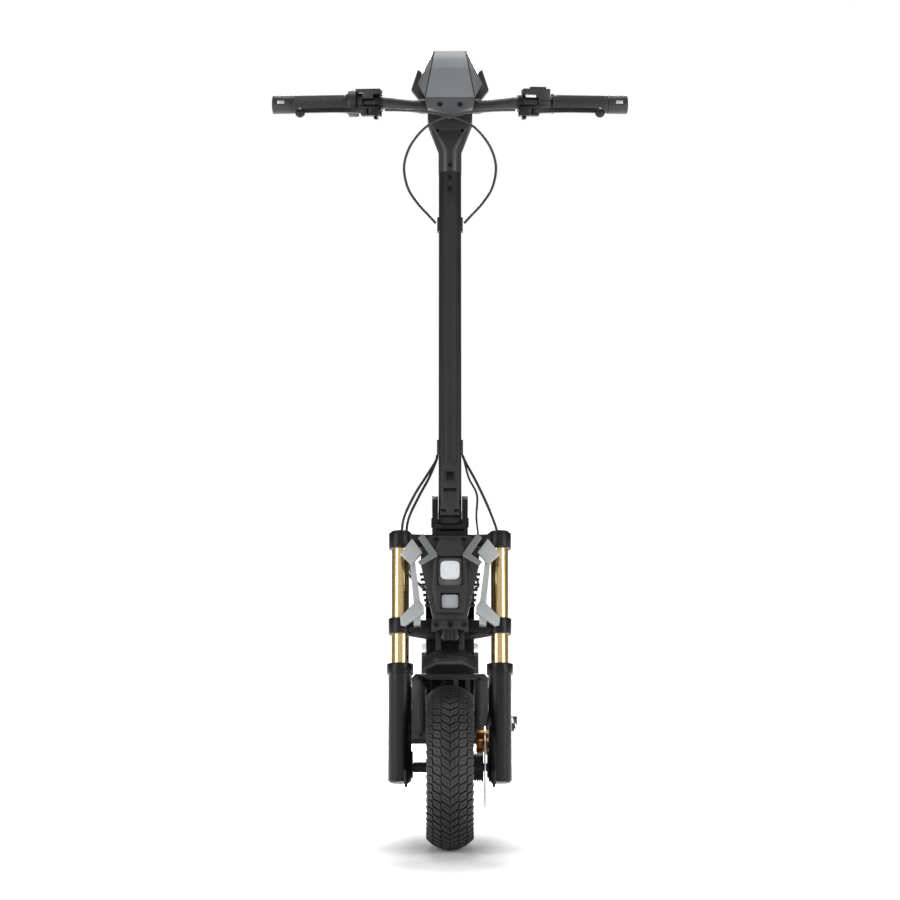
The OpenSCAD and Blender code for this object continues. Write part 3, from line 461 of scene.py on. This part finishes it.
def edged(node, body, width, angle=30, segments=2, slot=None):
    """Replaces a CAD node by a copy whose edges are rounded as a moulding or a casting has them."""
    piece = cad_copy(node, node + ".edged", node not in PIERCED)
    modify(piece, "BEVEL", width=width * MM, segments=segments, limit_method="ANGLE",
           angle_limit=math.radians(angle), use_clamp_overlap=True, miter_outer="MITER_ARC")
    smooth(piece, 32)
    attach(piece, body)
    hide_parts(node)
    if slot:
        wear(piece, slot)
    return piece


# ---- Sizes and colours a user may change ----
class ScooterSizes(bpy.types.PropertyGroup):
    """Sizes of the modelled detail."""
    tread_rows: bpy.props.IntProperty(
        name="Tread rows", description="Rows of tread blocks round each tyre",
        default=56, min=40, max=72)
    tread_depth: bpy.props.FloatProperty(
        name="Tread depth", description="Height of the tread blocks in millimetres",
        default=3.2, min=1.5, max=4.0)
    knurl_sides: bpy.props.IntProperty(
        name="Knurl count", description="Knurl diamonds round each grip",
        default=22, min=12, max=40)
    hose_radius: bpy.props.FloatProperty(
        name="Hose radius", description="Brake hose radius in millimetres",
        default=2.3, min=1.5, max=3.0)
    edge_round: bpy.props.FloatProperty(
        name="Edge rounding", description="Rounding of cast and moulded edges in millimetres",
        default=1.0, min=0.3, max=2.0)


class ScooterTones(bpy.types.PropertyGroup):
    """Main colours, as sRGB hex values."""
    coat_dark: bpy.props.StringProperty(
        name="Coat, dark tone", description="Darker tone of the black powder coat",
        default="#0f1011")
    coat_light: bpy.props.StringProperty(
        name="Coat, light tone", description="Lighter tone of the black powder coat",
        default="#151617")
    gold_dark: bpy.props.StringProperty(
        name="Gold, dark tone", description="Darker tone of the gold tubes",
        default="#dcbd88")
    gold_light: bpy.props.StringProperty(
        name="Gold, light tone", description="Lighter tone of the gold tubes",
        default="#ecd29c")
    floor: bpy.props.StringProperty(
        name="Floor", description="Colour of the studio floor",
        default="#f4f4f4")


# ---- Tyres ----
def crown_radius(x):
    """Outer radius of the tread at a distance from the middle, in millimetres."""
    arc = 51.6
    return TYRE_R - arc + math.sqrt(arc * arc - x * x)


def on_wheel(x, radius, angle):
    """Point on a wheel about the X axis through the origin, angle from the top towards the front."""
    return Vector((x, -radius * math.sin(angle), radius * math.cos(angle))) * MM


def tyre_carcass(depth):
    """The tyre's body with the grooves' floor as its outer surface."""
    outer = [(-30, 84.5), (-34, 89), (-37.4, 98), (-38.4, 108), (-37.6, 114)]
    outer += [(x, crown_radius(x) - depth) for x in range(-36, 37, 4)]
    outer += [(-x, r) for x, r in reversed(outer[:5])]
    inner = [(24, 88), (30, 104), (24, 124), (0, 129), (-24, 124), (-30, 104), (-24, 88)]
    rings = [[on_wheel(x, r, 2 * math.pi * k / 112) for x, r in outer + inner] for k in range(112)]
    return loft("carcass", rings, loop=True)


def tread_block(inner, outer, slope, pitch, depth):
    """One block with a wavy sipe, from a grid that is pulled down and pressed in."""
    deselect()
    bpy.ops.mesh.primitive_grid_add(x_subdivisions=3, y_subdivisions=3, size=1.0)
    block = bpy.context.object
    bpy.ops.object.mode_set(mode="EDIT")
    bpy.ops.mesh.select_mode(type="FACE")
    bpy.ops.mesh.select_all(action="SELECT")
    bpy.ops.mesh.extrude_region_move(TRANSFORM_OT_translate={"value": (0, 0, -1)})
    bpy.ops.mesh.delete(type="ONLY_FACE")
    mesh = bmesh.from_edit_mesh(block.data)
    for face in mesh.faces:
        middle = face.calc_center_median()
        face.select = abs(middle.x) < 0.1 and abs(middle.y) < 0.1 and middle.z > -0.1
    bmesh.update_edit_mesh(block.data)
    bpy.ops.mesh.extrude_region_move(TRANSFORM_OT_translate={"value": (0, 0, -0.6)})
    bpy.ops.object.mode_set(mode="OBJECT")
    across = {-0.5: 0.0, -0.1667: 0.26, 0.1667: 0.74, 0.5: 1.0}
    length = {-0.5: 0.0, -0.1667: 0.45, 0.1667: 0.55, 0.5: 1.0}
    for vertex in block.data.vertices:
        a = across[min(across, key=lambda k: abs(k - vertex.co.x))]
        b = length[min(length, key=lambda k: abs(k - vertex.co.y))]
        b += 0.05 * (0.5 - a) * (0 < b < 1)
        drop = -vertex.co.z * depth
        flare = 0.35 * min(-vertex.co.z, 1.0) * (vertex.co.z < -0.9)
        x = inner - flare + (outer - inner + 2 * flare) * a
        u = (b - 0.5) * (pitch - 3.1 + 2 * flare) - slope * x
        lean = 0.12 * (b - 0.5) * (pitch - 3.1)
        vertex.co = on_wheel(x - lean, crown_radius(min(x, 40.0)) - drop - 0.02, u / TYRE_R)
    return block


def tyre(name, rows, depth):
    """A tyre about the X axis through the origin."""
    pitch = 2 * math.pi * TYRE_R / rows
    right = [tread_block(0.7, 14.0, 0.72, pitch, depth),
             tread_block(15.6, 28.0, 0.42, pitch, depth),
             tread_block(29.6, 39.6, 0.2, pitch, depth)]
    left = []
    for block in right:
        other = block.copy()
        other.data = block.data.copy()
        bpy.context.scene.collection.objects.link(other)
        other.data.transform(Matrix.Scale(-1, 4, (1, 0, 0)))
        other.data.flip_normals()
        left.append(other)
    row = join("tread", *right, *left)
    bpy.ops.object.mode_set(mode="EDIT")
    bpy.ops.mesh.select_all(action="SELECT")
    bpy.ops.mesh.spin(dupli=True, steps=rows - 1, angle=2 * math.pi * (rows - 1) / rows,
                      center=(0, 0, 0), axis=(1, 0, 0))
    bpy.ops.object.mode_set(mode="OBJECT")
    wear(row, "tread_rubber")
    body = tyre_carcass(depth)
    smooth(body, 50)
    wear(body, "tyre_rubber")
    return join(name, body, row)


class SCOOTER_OT_tyres(bpy.types.Operator):
    """Models the block tread tyres and puts them on both wheels"""
    bl_idname = "scooter.tyres"
    bl_label = "Tyres"

    def execute(self, context):
        sizes = context.scene.scooter_sizes
        front = tyre("front_tyre.tread", sizes.tread_rows, sizes.tread_depth)
        rear = front.copy()
        rear.data = front.data.copy()
        context.scene.collection.objects.link(rear)
        settle(front, Matrix.Translation((0, FRONT_Y * MM, AXLE_Z * MM)), "front_tyre.tread")
        settle(rear, Matrix.Translation((0, REAR_Y * MM, AXLE_Z * MM)), "rear_tyre.tread")
        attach(front, "front_wheel")
        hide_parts("front_tyre")
        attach(rear, "rear_wheel")
        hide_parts("rear_tyre")
        return {"FINISHED"}


# ---- Handlebar and grips ----
def bar_point(side, u):
    return BAR_END[side] @ Vector((u * MM, 0, 0))


class SCOOTER_OT_bar(bpy.types.Operator):
    """Sweeps the handlebar through its two bends and makes the knurled grips"""
    bl_idname = "scooter.bar"
    bl_label = "Handlebar and grips"

    def execute(self, context):
        knee = Vector((52, BAR_Y, BAR_Z)) * MM
        half = [bar_point(1, u) for u in (END_U - 8, 150, 100, 50, 14)]
        bend = bar_point(1, -5)
        half += [bend.lerp(knee, t) for t in (0.0, 0.25, 0.5, 0.8)]
        half += [Vector((x, BAR_Y, BAR_Z)) * MM for x in (50, 38, 20)]
        mirrored = [Vector((-p.x, p.y, p.z)) for p in reversed(half)]
        path = smooth_route(half + [Vector((0, BAR_Y, BAR_Z)) * MM] + mirrored, 5)
        rings = []
        for i, centre in enumerate(path):
            along = (path[min(i + 1, len(path) - 1)] - path[max(i - 1, 0)]).normalized()
            swell = 1.2 * max(0.0, min(1.0, (58 - abs(centre.x / MM)) / 6))
            rings.append(ring_points(centre, along, (11 + swell) * MM, 40))
        bar = loft("handlebar.swept", rings)
        smooth(bar, 50)
        wear(bar, "satin_black_paint")
        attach(bar, "stem")
        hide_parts("handlebar")
        grips = [self.grip(side, context.scene.scooter_sizes.knurl_sides) for side in (1, -1)]
        pair = join("grips.knurled", *grips)
        wear(pair, "grip_rubber")
        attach(pair, "stem")
        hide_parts("grips")
        return {"FINISHED"}

    def grip(self, side, diamonds):
        """Rubber sleeve: a flange, a plain band, a diamond knurl and a plain band before the cap."""
        around = 2 * diamonds
        outline = [(61.0, 16.4, 0), (61.3, 17.6, 0), (62.0, 18.0, 0), (64.2, 18.0, 0),
                   (64.9, 17.6, 0), (65.2, 15.6, 0), (68.6, 15.6, 0)]
        length = 4.6
        count = int((CAP_U - 5.0 - 70.0) / (length / 2))
        outline += [(70.0 + k * length / 2, 15.5, k) for k in range(count + 1)]
        outline += [(CAP_U - 3.4, 15.6, 0), (CAP_U - 3.0, 16.0, 0), (CAP_U - 0.1, 16.0, 0)]
        rings = []
        for row, (u, radius, lattice) in enumerate(outline):
            ring = []
            for k in range(around):
                high = 0.45 if (k + lattice) % 2 == 0 else -0.35
                r = radius + (high if 7 <= row <= 7 + count else 0)
                angle = 2 * math.pi * k / around
                ring.append(BAR_END[side] @ Vector((u * MM, r * MM * math.cos(angle), r * MM * math.sin(angle))))
            rings.append(ring)
        return loft("grip", rings)


# ---- Hoses and cables ----
class SCOOTER_OT_hoses(bpy.types.Operator):
    """Lays the brake hoses and cables along their routes"""
    bl_idname = "scooter.hoses"
    bl_label = "Hoses and cables"

    def execute(self, context):
        radius = context.scene.scooter_sizes.hose_radius
        right = [(-116, BAR_Y - 44, BAR_Z - 10), (-88, BAR_Y - 50, BAR_Z - 11), (-45, BAR_Y - 60, BAR_Z - 14),
                 (0, BAR_Y - 64, BAR_Z - 23), (36, BAR_Y - 60, BAR_Z - 37), (60, BAR_Y - 54, BAR_Z - 59),
                 (76, BAR_Y - 50, BAR_Z - 86), (82, BAR_Y - 48, BAR_Z - 116), (75, BAR_Y - 49, BAR_Z - 150),
                 (58, BAR_Y - 51, BAR_Z - 177), (38, BAR_Y - 54, BAR_Z - 199),
                 in_fork(STEM_R + 5.4, AXIS_Y - 2, TOP_PORT_S + 3)]
        left = [(-x, y - 5 * max(0, 1 - abs(x) / 22), z) for x, y, z in right]
        pair = join("brake_hoses.smooth", hose("hose", right, radius), hose("hose", left, radius))
        wear(pair, "cable_jacket")
        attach(pair, "stem")
        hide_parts("brake_hoses")
        self.cables(radius)
        self.caliper_line(radius)
        return {"FINISHED"}

    def route(self, side, out_x, end_x, end_y):
        return [in_fork(side * PORT_X, AXIS_Y, LOW_EXIT_S), in_fork(side * (PORT_X + 3), AXIS_Y - 2, LOW_EXIT_S - 12),
                in_fork(side * out_x * 0.7, AXIS_Y - 2, 510), in_fork(side * out_x, AXIS_Y, 480),
                in_fork(side * end_x, AXIS_Y, 440), in_fork(side * (end_x + 4), end_y, 408),
                in_fork(side * (end_x + 3), end_y + 4, 375), in_fork(side * (end_x * 0.8 + 8), 44, 345),
                in_fork(side * 50, 50, 326), in_fork(side * NECK_X, 50, 322)]

    def cables(self, radius):
        """The lower cables, made as an upper half and a lower half."""
        second = [(x, y + 5, z - 2) for x, y, z in self.route(-1, 54, 72, 18)]
        routes = [(self.route(-1, 62, 80, 14), radius), (second, radius),
                  (self.route(1, 47, 46, 50), radius * 0.8)]
        upper = join("lower_cables.upper", *[hose("cable", r, w, 0, 5) for r, w in routes])
        lower = join("lower_cables.lower", *[hose("cable", r, w, 5) for r, w in routes])
        for piece in (upper, lower):
            wear(piece, "cable_jacket")
            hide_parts("lower_cables")
        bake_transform(upper)
        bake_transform(lower)

    def caliper_line(self, radius):
        """The front brake's hose: stem to steering above, steering to fork lowers below."""
        route = [in_fork(PORT_X, AXIS_Y + 4.4, LOW_EXIT_S), in_fork(PORT_X + 5, AXIS_Y + 4, LOW_EXIT_S - 12),
                 in_fork(48, AXIS_Y + 3, 500), in_fork(70, AXIS_Y + 2, 450), in_fork(84, 16, 405), in_fork(88, 18, 340),
                 in_fork(89, 17, 250), in_fork(87, 22, 190), in_fork(78, 40, 140), in_fork(68, 52, 100),
                 in_fork(64, 60.5, 78)]
        upper = hose("caliper_hose.upper", route, radius, 0, 5)
        lower = hose("caliper_hose.lower", route, radius, 5)
        for piece in (upper, lower):
            wear(piece, "cable_jacket")
            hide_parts("caliper_hose")
        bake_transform(upper)
        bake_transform(lower)


# ---- Lamps ----
def lens(name, centre, half_w, half_h, power, depth, place):
    """Moulded lens: rounded outline, a turned edge and a slightly domed face; millimetres."""
    sides = 48
    steps = [(1.0, 0.0), (1.0, -depth + 1.2), (0.985, -depth + 0.5), (0.955, -depth + 0.1), (0.92, -depth),
             (0.9, -depth + 0.35), (0.86, -depth + 0.4), (0.5, -depth - 0.2), (0.12, -depth - 0.4)]
    rings = []
    for scale, y in steps:
        ring = []
        for k in range(sides):
            a = 2 * math.pi * k / sides
            c, q = math.cos(a), math.sin(a)
            reach = (abs(c) ** power + abs(q) ** power) ** (-1 / power)
            across, up = scale * half_w * reach * c, scale * half_h * reach * q
            ring.append(place @ (Vector((centre[0] + across, centre[1] + y, centre[2] + up)) * MM))
        rings.append(ring)
    piece = loft(name, rings)
    smooth(piece, 32)
    return piece


class SCOOTER_OT_lamps(bpy.types.Operator):
    """Models the two headlight lenses, the reflector plate behind the upper one and the frame round the lower one"""
    bl_idname = "scooter.lamps"
    bl_label = "Lamps"

    def execute(self, context):
        upper = lens("lamp_lens.upper", (0, -60, LENS_S), 16.6, 16.0, 4.6, 11, FORK)
        lower = lens("lamp_lens.lower", (0, -60, LOW_LENS_S), 14.6, 12.0, 9.0, 9, FORK)
        wear(upper, "white_lens")
        wear(lower, "grey_lens")
        pair = join("lamp_lenses.moulded", upper, lower)
        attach(pair, "steering")
        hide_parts("lamp_lenses")
        plate = lens("lamp_reflector", (0, -55, LENS_S - 2), 20.6, 24.4, 8.0, 8, FORK)
        wear(plate, "grey_plastic")
        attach(plate, "steering")
        rim = lens("lamp_frame.lower", (0, -55, LOW_LENS_S), 15.6, 13.4, 9.0, 5, FORK)
        wear(rim, "black_plastic")
        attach(rim, "steering")
        return {"FINISHED"}


# ---- Fasteners ----
def screw(centre, along, radius, height, socket):
    """Cap screw head with a rolled edge and a hexagon socket; millimetres, along points outwards."""
    sides = 24
    profile = [(radius, -height, 0), (radius, -0.5, 0), (radius - 0.5, 0, 0), (socket + 0.5, 0, 0),
               (socket, -0.4, 1), (socket, -height * 0.7, 1)]
    along = Vector(along).normalized()
    side = along.cross(Vector((0.1, 0.2, 1))).normalized()
    up = along.cross(side)
    rings = []
    for r, h, hexed in profile:
        ring = []
        for k in range(sides):
            a = 2 * math.pi * k / sides
            reach = r * (0.87 / math.cos((a % (math.pi / 3)) - math.pi / 6) if hexed else 1.0)
            ring.append((Vector(centre) + along * h + reach * (math.cos(a) * side + math.sin(a) * up)) * MM)
        rings.append(ring)
    piece = loft("screw", rings)
    smooth(piece, 30)
    return piece


class SCOOTER_OT_fasteners(bpy.types.Operator):
    """Models the socket screws on the stem, the screen, the lamp and the crowns"""
    bl_idname = "scooter.fasteners"
    bl_label = "Fasteners"

    def execute(self, context):
        forward = FORK.to_3x3() @ Vector((0, -1, 0))
        upward = FORK.to_3x3() @ Vector((0, 0, 1))
        stem = [screw(in_fork(0, AXIS_Y - STEM_R - y, s), forward, 4.3, 2.4, 2.3)
                for y, s in ((2.2, RING_S - 33), (2.2, RING_S - 11), (2.8, RING_S + 11))]
        stem += [screw(in_fork(x, AXIS_Y - 54.2, BAR_S - 14), forward, 4.4, 2.0, 2.3) for x in (-18, 18)]
        piece = join("stem_bolts.socket", *stem)
        wear(piece, "black_steel")
        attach(piece, "stem")
        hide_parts("stem_bolts")
        crown = [screw(in_fork(x, -62.6, 386), forward, 3.0, 6.0, 1.7) for x in (-24, 24)]
        crown += [screw(in_fork(x, -56.4, 237), forward, 4.2, 3.0, 2.2) for x in (-24, 24)]
        crown += [screw(in_fork(0, -58.4, 237), forward, 5.2, 5.0, 3.4)]
        for s in (226, TOP_CROWN_S):
            for x in (-1, 1):
                crown += [screw(in_fork(x * (LEG_X - 22), 6.0, s + h), -forward, 3.1, 11.0, 1.8) for h in (9, 19)]
        caps = [screw(in_fork(x * LEG_X, LEG_Y, BASE_S + 3.5), upward, 16.6, 3.4, 7.0) for x in (-1, 1)]
        piece = join("crown_bolts.socket", *crown, *caps)
        wear(piece, "black_steel")
        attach(piece, "steering")
        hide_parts("crown_bolts")
        return {"FINISHED"}


# ---- Screen ----
class SCOOTER_OT_screen(bpy.types.Operator):
    """Cuts the smoke screen into a darker lower part, painted shade of the display body behind, and a paler upper part,
    painted light of the backdrop behind; adds its seams; rounds the display shell
    """
    bl_idname = "scooter.screen"
    bl_label = "Screen and display"

    def execute(self, context):
        piece = cad_copy("windscreen", "windscreen.painted_see_through")
        into_head = HEAD.inverted()
        pick(piece)
        bpy.ops.object.mode_set(mode="EDIT")
        bpy.ops.mesh.select_all(action="SELECT")
        bpy.ops.mesh.bisect(plane_co=HEAD @ Vector((0, 0, SCREEN_PAINTED_LIGHT_STEP * MM)), plane_no=HEAD.to_3x3() @ Vector((0, 0, 1)))
        bpy.ops.object.mode_set(mode="OBJECT")
        modify(piece, "BEVEL", width=0.7 * MM, segments=2, limit_method="ANGLE", angle_limit=math.radians(20))
        piece.data.materials.clear()
        for slot in ("screen_body_painted_shade", "screen_backdrop_painted_light"):
            piece.data.materials.append(FINISH[slot])
        # Faces above the step get the painted backdrop light, faces below it the painted shade of the display body
        for face in piece.data.polygons:
            face.material_index = int((into_head @ face.center).z > SCREEN_PAINTED_LIGHT_STEP * MM)
        smooth(piece, 28)
        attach(piece, "stem")
        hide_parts("windscreen")
        seams = []
        for side in (-1, 1):
            top, low = Vector((side * 28.6, -26.6, 96.4)), Vector((side * 44.4, -52.4, 0.4))
            line = (top, top.lerp(low, 0.33), top.lerp(low, 0.67), low)
            seams.append(hose("seam", [tuple((HEAD @ (p * MM)) / MM) for p in line], 0.9, sides=8, steps=2))
        strip = join("windscreen.seams", *seams)
        wear(strip, "black_plastic")
        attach(strip, "stem")
        shell = cad_copy("display_shell", "display_shell.edged")
        modify(shell, "BEVEL", width=0.9 * MM, segments=2, limit_method="ANGLE", angle_limit=math.radians(25))
        shell.data.materials.clear()
        for slot in ("black_plastic", "chin_plastic"):
            shell.data.materials.append(FINISH[slot])
        for face in shell.data.polygons:
            face.material_index = int((into_head @ face.center).y < -0.0225)
        smooth(shell, 30)
        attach(shell, "stem")
        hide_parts("display_shell")
        return {"FINISHED"}


# ---- Cast, forged and moulded parts ----
EDGED = {
    "frame": {"frame_shell": 1.6, "nose_grille": 0.9, "kick_plate": 1.2, "bottom_cover": 0.5},
    "swingarm": {"swingarm": 1.6, "rear_guard": 0.8, "tail_light": 1.5, "rear_caliper": 1.0},
    "steering": {"lower_crown": 1.6, "upper_crown": 1.6, "lamp_housing": 1.3, "lamp_chevrons": 0.8, "side_blades": 1.0,
                 "front_guard": 0.9, "fold_base": 1.2},
    "fork_lowers": {"lower_legs": 1.2, "front_caliper": 1.0},
    "stem": {"stem_tube": 0.9, "stem_head": 1.5, "end_caps": 1.2, "cap_lights": 0.6, "lever_clamps": 0.9,
             "throttle_body": 1.0, "switch_pod": 1.2},
    "fold_latch": {"fold_latch": 0.9},
    "fold_slider": {"fold_slider": 0.7},
    "left_lever": {"left_lever": 1.0},
    "right_lever": {"right_lever": 1.0},
    "throttle_paddle": {"throttle_paddle": 0.8},
    "turn_switch": {"turn_switch": 0.8},
    "mode_button": {"mode_button": 0.6},
    "kickstand": {"kickstand": 1.2},
    "charge_cap": {"charge_cap": 0.6},
}


# Faces with windows through them keep their triangles
PIERCED = {"lamp_housing"}


class SCOOTER_OT_castings(bpy.types.Operator):
    """Rounds the edges of the cast, forged and moulded parts"""
    bl_idname = "scooter.castings"
    bl_label = "Castings and mouldings"

    def execute(self, context):
        scale = context.scene.scooter_sizes.edge_round
        slots = {row["node"]: row["material_slot"] for row in frame["record"]["subparts"]}
        slots["front_caliper"] = slots["rear_caliper"] = "bronze_anodised"
        for body, parts in EDGED.items():
            for node, width in parts.items():
                edged(node, body, width * scale, slot=slots[node])
        return {"FINISHED"}


class SCOOTER_OT_finishes(bpy.types.Operator):
    """Makes the finishes and gives every CAD piece the one its slot names"""
    bl_idname = "scooter.finishes"
    bl_label = "Finishes"

    def execute(self, context):
        FINISH.update(make_finishes(context.scene.scooter_tones))
        for row in frame["record"]["subparts"]:
            piece = NODES[row["node"]]
            wear(piece, {"deck_mat": "grit_tape"}.get(row["node"], row["material_slot"]))
        return {"FINISHED"}


# ---- Studio ----
def soft_light(name, place, aim, width, height, power):
    """Large rectangular lamp that faces a point."""
    data = bpy.data.lights.new(name, "AREA")
    data.shape = "RECTANGLE"
    data.size, data.size_y, data.energy = width, height, power
    lamp = bpy.data.objects.new(name, data)
    lamp.location = place
    lamp.rotation_euler = (Vector(aim) - Vector(place)).to_track_quat("-Z", "Y").to_euler()
    bpy.context.scene.collection.objects.link(lamp)


class SCOOTER_OT_studio(bpy.types.Operator):
    """Sets the camera, the pale floor, which glows as painted light away from the front tyre, and the soft lights"""
    bl_idname = "scooter.studio"
    bl_label = "Studio"

    def execute(self, context):
        scene = context.scene
        camera = bpy.data.objects.new("camera", bpy.data.cameras.new("camera"))
        scene.collection.objects.link(camera)
        camera.location = (0, FRONT_Y * MM - 5.5, 0.681)
        camera.rotation_euler = (math.radians(90), 0, 0)
        camera.data.sensor_width = 36
        camera.data.lens = 129
        camera.data.clip_end = 200
        scene.camera = camera
        scene.view_settings.view_transform = "Standard"
        deselect()
        bpy.ops.mesh.primitive_plane_add(size=60)
        floor = context.object
        floor.name = "floor"
        material, tree, shader, place = surface("Matt floor, painted glow away from the tyre", {"Roughness": 0.9})
        speck = add_node(tree, "ShaderNodeTexNoise", {"Vector": place, "Scale": 2.0})
        two_tone(tree, shader, speck.outputs[0], scene.scooter_tones.floor, "#f6f6f6")
        # Painted light: the floor glows white from half a metre out from the front tyre's contact and fades to no glow
        # within 0.1 m of it, which whitens the falloff of light on the floor everywhere but where the tyre's shadow
        # falls
        contact = (0, FRONT_Y * MM - 0.1, 0)
        reach = add_node(tree, "ShaderNodeVectorMath", {0: place, 1: contact}, operation="DISTANCE")
        glow_fade = {0: reach.outputs["Value"], 1: 0.1, 2: 0.5, 3: 0.0, 4: 1.0}
        painted_floor_glow = add_node(tree, "ShaderNodeMapRange", glow_fade, interpolation_type="SMOOTHSTEP")
        tree.links.new(painted_floor_glow.outputs[0], shader.inputs["Emission Strength"])
        shader.inputs["Emission Color"].default_value = (1, 1, 1, 1)
        floor.data.materials.append(material)
        world = bpy.data.worlds.new("studio")
        scene.world = world
        world.use_nodes = True
        tree = world.node_tree
        sky = tree.nodes["Background"]
        sky.inputs[0].default_value = (1, 1, 1, 1)
        sight = add_node(tree, "ShaderNodeLightPath")
        facing = add_node(tree, "ShaderNodeTexCoord")
        parts = add_node(tree, "ShaderNodeSeparateXYZ", {0: facing.outputs["Generated"]})
        room = add_node(tree, "ShaderNodeMapRange", {0: parts.outputs["Y"], 1: -0.7, 2: 0.4, 3: 0.62, 4: 0.1})
        level = add_node(tree, "ShaderNodeMix", {0: sight.outputs["Is Camera Ray"], 2: room.outputs[0], 3: 1.0})
        tree.links.new(level.outputs[0], sky.inputs[1])
        soft_light("left softbox", (-2.6, -2.4, 1.5), (0, -0.3, 0.75), 1.2, 2.4, 45)
        soft_light("right softbox", (2.6, -2.4, 1.5), (0, -0.3, 0.75), 1.2, 2.4, 45)
        soft_light("top light", (0, 0.6, 3.4), (0, -0.2, 0.6), 2.2, 2.2, 55)
        soft_light("rear light", (0, 2.4, 2.2), (0, -0.5, 0.1), 1.4, 1.0, 130)
        return {"FINISHED"}


class SCOOTER_PT_panel(bpy.types.Panel):
    """Lists the scooter's pieces and settings"""
    bl_idname = "SCOOTER_PT_panel"
    bl_label = "Kick scooter"
    bl_space_type = "VIEW_3D"
    bl_region_type = "UI"
    bl_category = "Scooter"

    def draw(self, context):
        for group in (context.scene.scooter_sizes, context.scene.scooter_tones):
            for name in group.bl_rna.properties.keys():
                if name not in ("rna_type", "name"):
                    self.layout.prop(group, name)
        for operator in OPERATORS:
            self.layout.operator(operator.bl_idname)


OPERATORS = (
    SCOOTER_OT_studio, SCOOTER_OT_finishes, SCOOTER_OT_hoses, SCOOTER_OT_tyres, SCOOTER_OT_bar,
    SCOOTER_OT_lamps, SCOOTER_OT_fasteners, SCOOTER_OT_screen, SCOOTER_OT_castings)
CLASSES = (ScooterSizes, ScooterTones, *OPERATORS, SCOOTER_PT_panel)


def register():
    for cls in CLASSES:
        bpy.utils.register_class(cls)
    bpy.types.Scene.scooter_sizes = bpy.props.PointerProperty(type=ScooterSizes)
    bpy.types.Scene.scooter_tones = bpy.props.PointerProperty(type=ScooterTones)


def unregister():
    del bpy.types.Scene.scooter_tones
    del bpy.types.Scene.scooter_sizes
    for cls in reversed(CLASSES):
        bpy.utils.unregister_class(cls)


def main():
    register()
    for operator in OPERATORS:
        group, name = operator.bl_idname.split(".")
        getattr(getattr(bpy.ops, group), name)()
    deselect()


if __name__ == "__main__":
    main()
